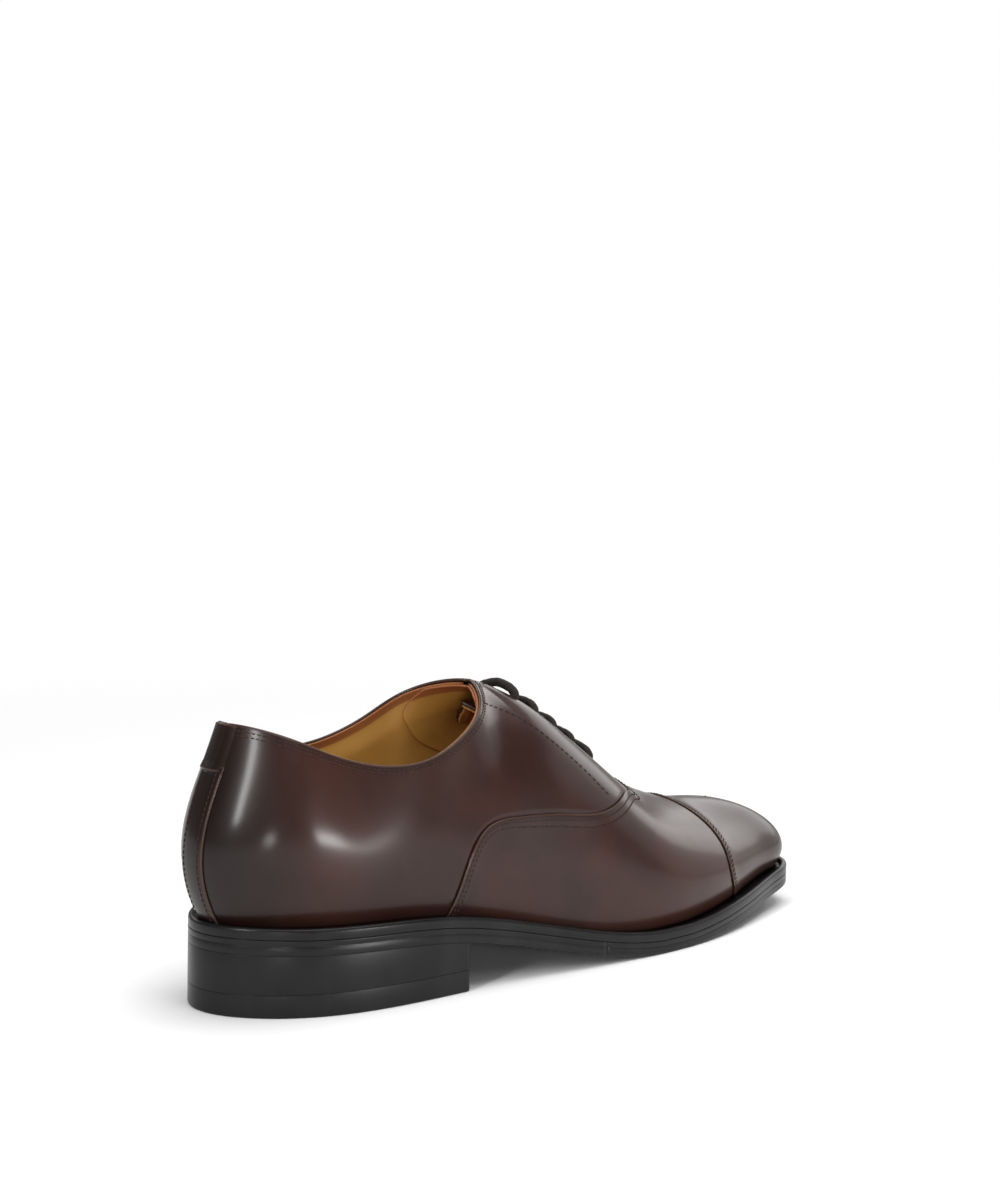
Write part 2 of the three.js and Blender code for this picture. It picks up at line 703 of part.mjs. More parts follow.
function tongueSheet(widthTrim, topTrim) {
  const sheet = new Sheet();
  const ease = crown('medial', facingTop).sub(crown('medial', facingTop + 0.01)).normalize();
  for (const side of SIDES) {
    sheet.grid(11, 5, (u, v) => {
      const along = clamp((u * 11 - 1) / 10, 0, 1);
      const s = mix(facingTop + 0.003, tongueBase, along);
      const half = mix(tongueTopWidth, tongueBaseWidth, along) / 2 - widthTrim;
      const spot = onSkin(side, s, downFromRidge(side, s, half * v));
      spot.normal.lerp(skinNormal(side, s, 1), 0.3).normalize();
      const round = Math.sqrt(1 - 0.5 * v * v);
      if (u === 0) spot.point.addScaledVector(ease, (tongueRise - topTrim) * round);
      return spot;
    }, side === 'lateral');
  }
  return sheet;
}
addMesh('tongue', tongueSheet(0, 0).thicken(tongueDepth, tongueDepth + tongueThickness), chestnut());
const tongueBack = tongueDepth + tongueThickness + 2 * layerGap;
const tongueInside = tongueSheet(0.8, 0.8).thicken(tongueBack, tongueBack + liningThickness);
addMesh('tongue_lining', tongueInside, tanLeather());

// ---- Eyelets and lace ----------------------------------------------------------------------
for (const side of SIDES) {
  for (let row = 0; row < eyeletRows; row += 1) {
    const { point, normal } = eyeletFrame(side, row);
    const half = eyeletThickness / 2;
    const ringOuter = eyeletHoleRadius + eyeletWall;
    const profile = [[eyeletHoleRadius, -half], [ringOuter, -half], [ringOuter, half],
      [eyeletHoleRadius, half], [eyeletHoleRadius, -half]];
    const ring = new THREE.LatheGeometry(profile.map(([x, y]) => new THREE.Vector2(x, y)), 12);
    const mesh = addMesh(`eyelet_${side}_${row + 1}`, ring, material(0x2a2523, 0.4, 1));
    mesh.position.copy(point).addScaledVector(normal, -(stiffenerTop + liningTop) / 2);
    mesh.quaternion.setFromUnitVectors(new THREE.Vector3(0, 1, 0), normal);
  }
}

const laceHeight = laceRadius + gap;
const bars = rows.map((_, row) => SIDES.map((side) => eyeletFrame(side, row)));

// A stretch above the facings, from the hole on one side to the hole on the other.
function barPoints(row, from, to) {
  const [a, b] = [bars[row][SIDES.indexOf(from)], bars[row][SIDES.indexOf(to)]];
  const rest = ({ point, inward, normal }) => point.clone().addScaledVector(inward, 3.6)
    .addScaledVector(normal, laceHeight + 0.4);
  const [start, finish] = [rest(a), rest(b)];
  const middle = start.clone().add(finish).multiplyScalar(0.5);
  middle.z = crown('medial', rows[row]).z + laceHeight;
  middle.x += 0.4;
  return [start, middle, finish];
}

// A hole's three points: just under the leather, in the hole, just over it.
function holePoints(side, row, lane) {
  const { point, normal, inward, down } = bars[row][SIDES.indexOf(side)];
  const at = (depth, along, across) => point.clone().addScaledVector(normal, -depth)
    .addScaledVector(down, along).addScaledVector(inward, across);
  return { over: at(-1, 0, 0.4), inside: at(2.8, 0, 0), under: at(laceDepth - 0.1, lane.down, lane.across) };
}

function runPoints(side, fromRow, toRow, lane) {
  const steps = 3;
  const points = [];
  for (let i = 1; i < steps; i += 1) {
    const s = mix(rows[fromRow], rows[toRow], i / steps);
    const h = downFromRidge(side, s, facingGap / 2 + eyeletInset - lane);
    points.push(skin(side, s, h).addScaledVector(skinNormal(side, s, h), -laceDepth));
  }
  return points;
}

const outer = -laceLane;
const inner = laceLane;

// A stretch inside the facing, from the hole of one row to the hole of another.
function under(side, fromRow, toRow, lane) {
  const way = Math.sign(toRow - fromRow);
  const across = lane * 0.35;
  const leave = holePoints(side, fromRow, { down: 1.6 * way, across });
  const enter = holePoints(side, toRow, { down: -1.6 * way, across });
  return [leave.over, leave.inside, leave.under, ...runPoints(side, fromRow, toRow, lane),
    enter.under, enter.inside, enter.over];
}

// A lace end, from its hole down the inside of the facing.
function tail(side, row, toRow, lane) {
  const way = Math.sign(toRow - row);
  const leave = holePoints(side, row, { down: 1.6 * way, across: lane * 0.35 });
  return [leave.over, leave.inside, leave.under, ...runPoints(side, row, toRow, lane)];
}

// Five straight bars. Row 0 is at the top of the facing, row 4 at the throat.
const endA = tail('lateral', 0, 2, 2.2 * outer);
const endB = tail('medial', 1, 2, inner);
const route = [
  ...[...endA].reverse(),
  ...barPoints(0, 'lateral', 'medial'),
  ...under('medial', 0, 2, outer),
  ...barPoints(2, 'medial', 'lateral'),
  ...under('lateral', 2, 4, outer),
  ...barPoints(4, 'lateral', 'medial'),
  ...under('medial', 4, 3, 0),
  ...barPoints(3, 'medial', 'lateral'),
  ...under('lateral', 3, 1, inner),
  ...barPoints(1, 'lateral', 'medial'),
  ...endB,
];
const laceCurve = new THREE.CatmullRomCurve3(route, false, 'centripetal');
const laceSection = new THREE.Shape();
for (let k = 0; k < 8; k += 1) {
  const angle = (k * Math.PI) / 4;
  const [x, y] = [laceRadius * Math.cos(angle), laceRadius * Math.sin(angle)];
  if (k === 0) laceSection.moveTo(x, y);
  else laceSection.lineTo(x, y);
}
const laceSweep = { steps: 110, curveSegments: 1, extrudePath: laceCurve };
const laceTube = new THREE.ExtrudeGeometry(laceSection, laceSweep);
addMesh('lace', laceTube, material(0x241a18, 0.85));

for (const [name, end, sense] of [['lateral', 0, -1], ['medial', 1, 1]]) {
  const tip = laceCurve.getPointAt(end);
  const way = laceCurve.getTangentAt(end).multiplyScalar(sense);
  const from = tip.clone().addScaledVector(way, layerGap);
  const to = from.clone().addScaledVector(way, agletLength);
  addMesh(`aglet_${name}`, rod(from, to, laceRadius - agletWall), material(0x1b1414, 0.3));
}

// The origin is on the ground, under the middle of the whole shoe.
const extent = new THREE.Box3().setFromObject(shoe);
shoe.position.set(-(extent.min.x + extent.max.x) / 2, -(extent.min.y + extent.max.y) / 2, 0);

export default shoe;
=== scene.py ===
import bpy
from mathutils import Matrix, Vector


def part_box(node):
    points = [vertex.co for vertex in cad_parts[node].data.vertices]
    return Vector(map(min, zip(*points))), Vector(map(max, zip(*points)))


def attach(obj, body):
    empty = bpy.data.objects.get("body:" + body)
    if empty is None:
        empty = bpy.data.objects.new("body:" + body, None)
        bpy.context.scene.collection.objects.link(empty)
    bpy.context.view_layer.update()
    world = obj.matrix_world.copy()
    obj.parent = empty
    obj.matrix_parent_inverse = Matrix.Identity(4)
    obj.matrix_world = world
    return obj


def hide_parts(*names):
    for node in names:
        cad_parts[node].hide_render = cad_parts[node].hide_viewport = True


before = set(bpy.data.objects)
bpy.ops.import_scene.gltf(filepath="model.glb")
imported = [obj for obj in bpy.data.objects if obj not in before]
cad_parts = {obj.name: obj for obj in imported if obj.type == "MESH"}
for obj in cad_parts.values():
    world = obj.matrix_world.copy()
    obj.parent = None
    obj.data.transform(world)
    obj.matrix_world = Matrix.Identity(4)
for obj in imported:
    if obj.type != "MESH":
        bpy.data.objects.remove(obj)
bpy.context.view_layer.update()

import math

import bmesh
import bpy
import numpy as np
from mathutils import Quaternion, Vector

# ---- The studio ----------------------------------------------------------------------------
# The plain set that a shoe is shown on: a white floor that fades into a white room, a large soft
# box overhead, boxes before the toe and behind the heel, low strips for the side, and soft fills.
MM = 0.001
EYE = Vector((-0.5013, -0.5275, 0.1882))
GAZE = Vector((0.6788, 0.7308, -0.0716))
ROLL = math.radians(1.15)
LENS = 56.0

lens = bpy.data.cameras.new("camera")
lens.lens = LENS
lens.clip_start = 0.01
camera = bpy.data.objects.new("camera", lens)
bpy.context.collection.objects.link(camera)
camera.location = EYE
camera.rotation_mode = "QUATERNION"
camera.rotation_quaternion = GAZE.to_track_quat("-Z", "Y") @ Quaternion((0, 0, 1), ROLL)
bpy.context.scene.camera = camera
bpy.context.scene.view_settings.view_transform = "Standard"


def new_object(name, points, faces, smooth=True):
    """A mesh object from arrays of points in metres and a list of faces."""
    mesh = bpy.data.meshes.new(name)
    mesh.from_pydata([tuple(p) for p in points], [], [tuple(int(i) for i in f) for f in faces])
    mesh.update()
    if smooth:
        mesh.shade_smooth()
    piece = bpy.data.objects.new(name, mesh)
    bpy.context.collection.objects.link(piece)
    return piece


def area_light(name, place, target, size, watts):
    """A rectangular soft box at place, facing target."""
    lamp = bpy.data.lights.new(name, "AREA")
    lamp.shape = "RECTANGLE"
    lamp.size, lamp.size_y = size
    lamp.energy = watts
    light = bpy.data.objects.new(name, lamp)
    bpy.context.collection.objects.link(light)
    light.location = place
    light.rotation_mode = "QUATERNION"
    light.rotation_quaternion = (Vector(target) - Vector(place)).to_track_quat("-Z", "Y")


area_light("soft_box_above", (0.1, -0.15, 1.3), (0, 0, 0.03), (1.3, 1.1), 16.5)
area_light("box_before_toe", (1.5, 0.45, 0.75), (0.05, 0, 0.05), (1.5, 0.8), 7.5)
area_light("box_behind_heel", (-1.09, -0.36, 0.6), (-0.14, -0.02, 0.08), (0.12, 0.5), 6.5)
area_light("low_strip", (0.2, -1.2, 0.1), (-0.08, -0.03, 0.05), (0.36, 0.13), 5.5)
area_light("low_spot", (-0.86, -0.98, 0.1), (-0.12, -0.03, 0.05), (0.12, 0.14), 1.3)
area_light("toe_side_box", (1.5, -0.35, 0.45), (0.1, 0, 0.04), (1.6, 0.8), 3.4)
area_light("side_fill", (-0.4, -1.3, 1.15), (0, 0, 0.05), (0.8, 0.4), 1.4)
area_light("far_side_fill", (0.1, 1.4, 0.8), (0, 0, 0.05), (1.4, 0.5), 3.5)

# The room is white to look at, and greyer than that in the polish of the leather.
WHITE, ROOM = 1.0, 0.12
world = bpy.data.worlds.new("studio_white")
bpy.context.scene.world = world
world.use_nodes = True
room = world.node_tree.nodes["Background"]
room.inputs["Color"].default_value = (1, 1, 1, 1)
rays = world.node_tree.nodes.new("ShaderNodeLightPath")
seen = world.node_tree.nodes.new("ShaderNodeMapRange")
seen.inputs["To Min"].default_value = ROOM
seen.inputs["To Max"].default_value = WHITE
world.node_tree.links.new(rays.outputs["Is Camera Ray"], seen.inputs["Value"])
world.node_tree.links.new(seen.outputs["Result"], room.inputs["Strength"])

# The floor takes the shoe's soft shadow near by, and glows white like the room further out.
FLOOR_HALF = 6.0
GLOW_FROM, GLOW_TO = 0.28, 1.0
corners = [(x * FLOOR_HALF, y * FLOOR_HALF, 0) for x, y in ((-1, -1), (1, -1), (1, 1), (-1, 1))]
floor = new_object("floor", corners, [(0, 1, 2, 3)], smooth=False)
floor_paint = bpy.data.materials.new("floor_white")
floor_paint.use_nodes = True
paint = floor_paint.node_tree
floor_shader = paint.nodes["Principled BSDF"]
floor_shader.inputs["Base Color"].default_value = (0.96, 0.96, 0.96, 1)
floor_shader.inputs["Roughness"].default_value = 0.7
floor_shader.inputs["Specular IOR Level"].default_value = 0.2
glow = paint.nodes.new("ShaderNodeEmission")
spread = paint.nodes.new("ShaderNodeMapRange")
distance = paint.nodes.new("ShaderNodeVectorMath")
distance.operation = "LENGTH"
where = paint.nodes.new("ShaderNodeTexCoord")
spread.interpolation_type = "SMOOTHSTEP"
spread.inputs["From Min"].default_value = GLOW_FROM
spread.inputs["From Max"].default_value = GLOW_TO
fade = paint.nodes.new("ShaderNodeMixShader")
paint.links.new(where.outputs["Object"], distance.inputs[0])
paint.links.new(distance.outputs["Value"], spread.inputs["Value"])
paint.links.new(spread.outputs["Result"], fade.inputs[0])
paint.links.new(floor_shader.outputs[0], fade.inputs[1])
paint.links.new(glow.outputs[0], fade.inputs[2])
paint.links.new(fade.outputs[0], paint.nodes["Material Output"].inputs["Surface"])
floor.data.materials.append(floor_paint)

# ---- The last ------------------------------------------------------------------------------
# The form that the shoe is made on, in millimetres from the back of the sole: its plan, the
# line of its underside, and sections whose foot stands on the welt and whose head is the crown.
LENGTH = 300.0
EDGE = 9.2
LEDGE_DROP = 1.6
FIT = 0.3
HEEL_MARGIN, SIDE_MARGIN, TOE_MARGIN = 4.0, 7.0, 4.0
FACING_TOP = 0.475
LAT, MED = -1.0, 1.0


def spline(xs, ys, level=False):
    """A natural cubic spline as a function of arrays; level makes it flat at both ends."""
    xs, ys = np.array(xs, float), np.array(ys, float)
    if level:
        xs = np.concatenate([[2 * xs[0] - xs[1]], xs, [2 * xs[-1] - xs[-2]]])
        ys = np.concatenate([[ys[1]], ys, [ys[-2]]])
    n = len(xs)
    step = np.diff(xs)
    slope = np.diff(ys) / step
    matrix, right = np.eye(n), np.zeros(n)
    for i in range(1, n - 1):
        matrix[i, i - 1:i + 2] = step[i - 1], 2 * (step[i - 1] + step[i]), step[i]
        right[i] = 6 * (slope[i] - slope[i - 1])
    bend = np.linalg.solve(matrix, right)

    def value(x):
        x = np.asarray(x, float)
        i = np.clip(np.searchsorted(xs, x, side="right") - 1, 0, n - 2)
        t, h = x - xs[i], step[i]
        start = slope[i] - h * (2 * bend[i] + bend[i + 1]) / 6
        return ys[i] + t * (start + t * (bend[i] / 2 + t * (bend[i + 1] - bend[i]) / (6 * h)))
    return value


tenths = np.linspace(0, 1, 11)
lateral_width = spline(tenths, [0, 18, 33.5, 40.5, 42.5, 48, 50, 43, 31.5, 21.5, -3])
medial_width = spline(tenths, [0, 16.5, 31, 33.5, 29, 32.5, 45, 46.5, 37, 22.5, 3])
sprung = spline([0, 40, 80, 110, 140, 170, 200, 225, 250, 275, 300],
                [22, 21, 19, 13.5, 6.5, 1, 0, 2, 4.5, 7, 9.5])
crown_stations = [0, 0.1, 0.18, 0.26, 0.34, 0.4, 0.44, 0.475, 0.52, 0.575, 0.62, 0.67, 0.73, 0.8, 0.9, 1]
crown_x = spline(crown_stations, [11, 15.5, 27, 46, 72, 95, 110, 123.5, 144, 173, 193, 213, 234,
                                  250, 261, 264], level=True)
crown_z = spline(crown_stations, [98, 97, 92.5, 85, 83, 91, 101, 106.5, 94.5, 77.5, 66, 56.5, 49.5,
                                  47, 45.7, 45.4], level=True)
mouth_width = spline(crown_stations[:8], [0, 12, 22, 26.5, 32, 29.5, 21.5, 0])
RIDGE_LEAN = 5.0
bend_stations = [0, 0.16, 0.34, 0.44, 0.475, 0.6, 0.7, 1]
foot_reach = spline(bend_stations, [0.45, 0.42, 0.36, 0.37, 0.38, 0.42, 0.43, 0.41], level=True)
foot_lean = spline(bend_stations, [30, 24, 16, 10, 8, 22, 30, 40], level=True)
crown_reach = spline(bend_stations, [0.4, 0.4, 0.36, 0.34, 0.35, 0.4, 0.44, 0.48], level=True)
crown_fall = spline(bend_stations, [72, 70, 76, 57, 20, 15, 10, 3], level=True)


def unit(v):
    return v / np.maximum(np.linalg.norm(v, axis=-1, keepdims=True), 1e-9)


def smooth(t):
    t = np.clip(t, 0, 1)
    return t * t * (3 - 2 * t)


def mix(a, b, t):
    return a + (b - a) * t


def underside(x):
    return np.maximum(sprung(np.clip(x, 0, LENGTH)), 0)


def folded(side, s):
    """Stations past the heel or toe carry on down the other side."""
    turned = (s < 0) | (s > 1)
    s = np.where(s < 0, -s, np.where(s > 1, 2 - s, s))
    return np.where(turned, -side, side), s


def edge_point(side, s):
    side, s = folded(side, s)
    y = np.where(side < 0, lateral_width(s), medial_width(s)) * side
    return np.stack([LENGTH / 2 * (1 - np.cos(np.pi * s)), y], -1)


def outline(side, s, inset):
    """The sole's plan, moved inwards."""
    side, s = np.broadcast_arrays(np.asarray(side, float), np.asarray(s, float))
    along = unit(edge_point(side, s + 0.004) - edge_point(side, s - 0.004))
    inward = np.stack([along[..., 1], -along[..., 0]], -1) * side[..., None]
    return edge_point(side, s) + inward * np.asarray(inset, float)[..., None]


def margin(s):
    """How far inside the sole's edge the upper stands."""
    end = np.where(s < 0.5, HEEL_MARGIN, TOE_MARGIN)
    return mix(end, SIDE_MARGIN, smooth(np.minimum(s, 1 - s) / 0.25))


def feather(side, s):
    """The line where the upper meets the welt."""
    p = outline(side, s, margin(s))
    z = underside(p[..., 0]) + EDGE - LEDGE_DROP + FIT
    return np.concatenate([p, z[..., None]], -1)


def mouth(s):
    return np.where(s < FACING_TOP, mouth_width(np.clip(s, 0, FACING_TOP)), 0)


# The mouth's corner rubbed out, for the wall below it.
fine = np.linspace(0, 1, 2001)
kernel = np.cos(np.linspace(-1.45, 1.45, 181)) ** 2
padded = mouth(np.abs(np.linspace(-0.1, 1.1, 2401)))
soft_mouth = np.convolve(padded, kernel / kernel.sum(), "same")[200:-200]
SOFT_FROM, SOFT_TO = 0.3, 0.4


def crown(side, s, softened=False):
    """The head of each section: the topline behind, the instep's ridge in front."""
    x = crown_x(s)
    open_half = mouth(s)
    if softened:
        share = smooth((s - SOFT_FROM) / (SOFT_TO - SOFT_FROM))
        open_half = mix(open_half, np.interp(s, fine, soft_mouth), share)
    lean = RIDGE_LEAN * x / LENGTH * np.clip((x - 100) / 100, 0, 1)
    return np.stack([x, open_half * side + lean, crown_z(s)], -1)


def section(side, s, h, softened):
    """Points of the upper's outer surface at station s and share h of the section."""
    side, s, h = np.broadcast_arrays(*(np.asarray(a, float) for a in (side, s, h)))
    side, s = folded(side, s)
    over = (h > 1) & (s >= FACING_TOP)
    side, h = np.where(over, -side, side), np.where(over, 2 - h, h)
    foot, head = feather(side, s), crown(side, s, softened)
    along = feather(side, np.minimum(s + 1e-4, 1)) - feather(side, np.maximum(s - 1e-4, 0))
    outward = np.stack([-along[..., 1], along[..., 0], 0 * s], -1) * side[..., None]
    end = ((s == 0) | (s == 1))[..., None]
    outward = unit(np.where(end, np.stack([2 * s - 1, 0 * s, 0 * s], -1), outward))
    reach = np.linalg.norm(head - foot, axis=-1)
    towards = unit((foot - head) * (1, 1, 0))
    wall = np.clip(crown_fall(s) / 60, 0, 1)[..., None]
    towards = unit(towards * (1 - wall) + outward * wall)
    up = np.array((0, 0, 1.0))

    def handle(base, across, share, angle, rise):
        angle, share = np.radians(angle), (share * reach)[..., None]
        level, steep = (np.sin(angle), np.cos(angle)) if rise > 0 else (np.cos(angle), np.sin(angle))
        return base + share * (across * level[..., None] + rise * up * steep[..., None])
    low = handle(foot, outward, foot_reach(s), foot_lean(s), 1)
    high = handle(head, towards, crown_reach(s), crown_fall(s), -1)
    h = h[..., None]
    return foot * (1 - h) ** 3 + 3 * low * h * (1 - h) ** 2 + 3 * high * h ** 2 * (1 - h) + head * h ** 3


def skin(side, s, h):
    """The surface, with the crease below the facing's top rubbed out of the side wall."""
    side, s, h = np.broadcast_arrays(*(np.asarray(a, float) for a in (side, s, h)))
    drawn = section(side, s, h, False)
    rubbed = smooth((1 - np.minimum(h, 2 - h)) / 0.3)
    return mix(drawn, section(side, s, h, True), rubbed[..., None])


def skin_normal(side, s, h):
    """The surface's outward direction; beside the toe's pole, that of the place before it."""
    side, s, h = np.broadcast_arrays(*(np.asarray(a, float) for a in (side, s, h)))
    pole = (s > 0.995) & (h > 0.995)
    s, h = np.where(pole, 0.99, s), np.where(pole, 1.0, h)
    step = 0.002
    along = skin(side, s + step, h) - skin(side, s - step, h)
    top = np.where(s >= FACING_TOP, h + step, np.minimum(h + step, 1))
    across = skin(side, s, top) - skin(side, s, np.maximum(h - step, 0))
    return unit(np.cross(along, across) * -side[..., None])


def down_from_ridge(side, s, distance):
    """The share h that lies a distance down each section from the ridge."""
    s, distance = np.broadcast_arrays(np.asarray(s, float), np.asarray(distance, float))
    stations, index = np.unique(s.ravel(), return_inverse=True)
    hs = np.linspace(1, 0.1, 121)
    line = skin(side, stations[:, None], hs)
    walked = np.cumsum(np.linalg.norm(np.diff(line, axis=-2), axis=-1), -1)
    walked = np.concatenate([np.zeros((len(stations), 1)), walked], -1)
    shares = [np.interp(d, walked[i], hs) for d, i in zip(distance.ravel(), index.ravel())]
    return np.array(shares).reshape(s.shape)


# The row frame stands under the middle of the shoe; the outsole gives the shift to it.
rim = np.concatenate([edge_point(side, np.linspace(0, 1, 400)) for side in (LAT, MED)])
sole_low, sole_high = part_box("outsole")
SHIFT = np.array([sole_low[0] / MM, (sole_low[1] + sole_high[1]) / 2 / MM
                  - (rim[:, 1].min() + rim[:, 1].max()) / 2, 0])


def placed(points):
    """Millimetres on the last to metres in the row frame."""
    return (np.asarray(points) + SHIFT) * MM


# ---- Heel top piece, heel block, outsole, tread sole and welt ------------------------------
# Moulded black rubber, lightly polished: the heel is built of a block and a wearing top piece,
# the outsole carries a thicker tread in front, and the welt stands up as a rim round the upper.
class Socket:
    """An output of a node, with arithmetic that adds Math nodes."""

    def __init__(self, tree, output):
        self.tree, self.output = tree, output

    def maths(self, operation, *values):
        node = self.tree.nodes.new("ShaderNodeMath")
        node.operation = operation
        for k, value in enumerate(values):
            if isinstance(value, Socket):
                self.tree.links.new(value.output, node.inputs[k])
            else:
                node.inputs[k].default_value = value
        return Socket(self.tree, node.outputs[0])

    def __add__(self, other):
        return self.maths("ADD", self, other)

    def __sub__(self, other):
        return self.maths("SUBTRACT", self, other)

    def __rsub__(self, other):
        return self.maths("SUBTRACT", other, self)

    def __mul__(self, other):
        return self.maths("MULTIPLY", self, other)

    __radd__ = __add__
    __rmul__ = __mul__

    def held(self, low, high):
        """Stretched so that low becomes 0 and high 1, and held between."""
        node = self.tree.nodes.new("ShaderNodeMapRange")
        node.interpolation_type = "SMOOTHSTEP"
        self.tree.links.new(self.output, node.inputs["Value"])
        node.inputs["From Min"].default_value = low
        node.inputs["From Max"].default_value = high
        return Socket(self.tree, node.outputs["Result"])


class Finish:
    """A material and its Principled shader."""

    def __init__(self, name, **plain):
        self.material = bpy.data.materials.new(name)
        self.material.use_nodes = True
        self.tree = self.material.node_tree
        self.shader = self.tree.nodes["Principled BSDF"]
        for socket, value in plain.items():
            self.shader.inputs[socket.replace("_", " ")].default_value = value
        coordinates = self.tree.nodes.new("ShaderNodeTexCoord")
        self.place = Socket(self.tree, coordinates.outputs["Object"])

    def node(self, kind, settings=(), output=0, **sockets):
        """Adds a node: its settings first, then the values or links of its named sockets."""
        node = self.tree.nodes.new(kind)
        for key, value in dict(settings).items():
            setattr(node, key, value)
        for key, value in sockets.items():
            socket = node.inputs[key.replace("_", " ")]
            if isinstance(value, Socket):
                self.tree.links.new(value.output, socket)
            else:
                socket.default_value = value
        return Socket(self.tree, node.outputs[output])

    def noise(self, scale, detail=3.0, roughness=0.5, distortion=0.0, place=None):
        return self.node("ShaderNodeTexNoise", Vector=place or self.place, Scale=scale, Detail=detail,
                         Roughness=roughness, Distortion=distortion)

    def stretched(self, x, y, z):
        return self.node("ShaderNodeMapping", Vector=self.place, Scale=(x, y, z))

    def axis(self, k):
        return self.node("ShaderNodeSeparateXYZ", output=k, Vector=self.place)

    def attribute(self, name):
        return self.node("ShaderNodeAttribute", {"attribute_name": name}, output=2)

    def blend(self, amount, first, second):
        """The colour first where amount is 0, second where it is 1."""
        node = self.tree.nodes.new("ShaderNodeMix")
        node.data_type = "RGBA"
        for k, value in ((0, amount), (6, first), (7, second)):
            if isinstance(value, Socket):
                self.tree.links.new(value.output, node.inputs[k])
            else:
                node.inputs[k].default_value = value if k == 0 else (*value, 1)
        return Socket(self.tree, node.outputs[2])

    def feed(self, name, value):
        self.tree.links.new(value.output, self.shader.inputs[name])

    def bump(self, height, distance, strength=1.0):
        bumped = self.node("ShaderNodeBump", Height=height, Distance=distance, Strength=strength)
        self.feed("Normal", bumped)


def finish_piece(piece, body, finish, slot, *nodes):
    """Gives a piece its material and its body, and hides the CAD nodes that it stands for; slot is not
    used.
    """
    piece.data.materials.clear()
    piece.data.materials.append(finish.material)
    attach(piece, body)
    if nodes:
        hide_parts(*nodes)
    return piece


HEEL_BREAST = 88.0
TOP_PIECE = 8.0
TREAD = 1.6
TREAD_START = 152.0
SOLE = 5.2
BUTT = 0.05
BREAK = 0.2
ROUND = [(1.0, 0.0), (0.45, 0.12), (0.13, 0.4), (0.0, 1.0)]
SEAM_ROUND, EDGE_ROUND = 0.12, 0.9


def station_at(x):
    return math.acos(1 - 2 * min(max(x, 0), LENGTH) / LENGTH) / math.pi


def ring(start, end, inset, count, margined=False):
    """Plan points round a piece: up the lateral edge from the heel, back down the medial."""
    s = mix(station_at(start), station_at(end), np.linspace(0, 1, count))
    inset = margin(s) + inset if margined else 0 * s + inset
    return np.concatenate([outline(LAT, s, inset), outline(MED, s[::-1], inset[::-1])])


def slab(name, start, end, inset, low, high, count=150, grooves=(), across=10,
         low_round=SEAM_ROUND, high_round=SEAM_ROUND, margined=False):
    """A plate of the sole's plan with rounded rims; low and high give its faces over x."""
    levels = [(i * low_round, low, z * low_round) for i, z in ROUND]
    levels += [(i, high, z) for i, z in grooves]
    levels += [(i * high_round, high, -z * high_round) for i, z in reversed(ROUND)]
    points, faces = [], []
    n = 2 * count
    for edge, face_height, rise in levels:
        plan = ring(start, end, inset + edge, count, margined)
        plan[:, 0] = np.clip(plan[:, 0], start + (edge if start > 0 else 0),
                             end - (edge if end < LENGTH else 0))
        points.append(np.column_stack([plan, face_height(plan[:, 0]) + rise]))
    for k in range(len(levels) - 1):
        for i in range(n):
            j = (i + 1) % n
            faces.append((k * n + i, k * n + j, (k + 1) * n + j, (k + 1) * n + i))
    points = np.concatenate(points)
    for first, turn in ((0, True), ((len(levels) - 1) * n, False)):
        left = points[first:first + count]
        right = points[first + count:first + n][::-1]
        extra = [mix(left, right, k / across) for k in range(1, across)]
        base = len(points)
        points = np.concatenate([points, *extra])
        index = np.concatenate([[first + np.arange(count)],
                                base + np.arange((across - 1) * count).reshape(across - 1, count),
                                [first + n - 1 - np.arange(count)]])
        for k in range(across):
            for i in range(count - 1):
                face = (index[k, i], index[k + 1, i], index[k + 1, i + 1], index[k, i + 1])
                faces.append(face[::-1] if turn else face)
    piece = new_object(name, placed(points), faces)
    tidy(piece)
    return piece


def tidy(piece):
    """Joins doubled points, drops collapsed faces and turns every face outwards."""
    work = bmesh.new()
    work.from_mesh(piece.data)
    bmesh.ops.remove_doubles(work, verts=work.verts, dist=2e-6)
    bmesh.ops.dissolve_degenerate(work, edges=work.edges, dist=1e-6)
    bmesh.ops.recalc_face_normals(work, faces=work.faces)
    work.to_mesh(piece.data)
    work.free()
    piece.data.shade_smooth()


def above(offset):
    """A face that follows the line of the underside."""
    return lambda x: underside(x) + offset


def level(value):
    """The same value all along."""
    return lambda x: 0 * x + value


black_rubber = Finish("black_rubber", Specular_IOR_Level=0.22)
# The black is streaked up and down: partly a mottled polish, partly painted soft vertical reflections.
polish_and_sheen_streak = black_rubber.noise(60, 4, place=black_rubber.stretched(1, 1, 0.2))
black_rubber.feed("Base Color", black_rubber.blend(polish_and_sheen_streak.held(0.35, 0.7), (0.006, 0.0055, 0.006),
                                                   (0.011, 0.010, 0.0105)))
black_rubber.feed("Roughness", black_rubber.noise(35, 4) * 0.08 + 0.27)
grit = black_rubber.noise(1600, 3)
black_rubber.bump(grit, 0.00005, 0.3)

top_piece = slab("heel_top_piece", 0, HEEL_BREAST, 0, level(0), level(TOP_PIECE), low_round=EDGE_ROUND)
finish_piece(top_piece, "shoe", black_rubber, "heel_rubber", "top_piece")
heel_block = slab("heel_block_shell", 0, HEEL_BREAST, 0, level(TOP_PIECE + BUTT), above(-BUTT))
finish_piece(heel_block, "shoe", black_rubber, "heel_rubber", "heel_block")

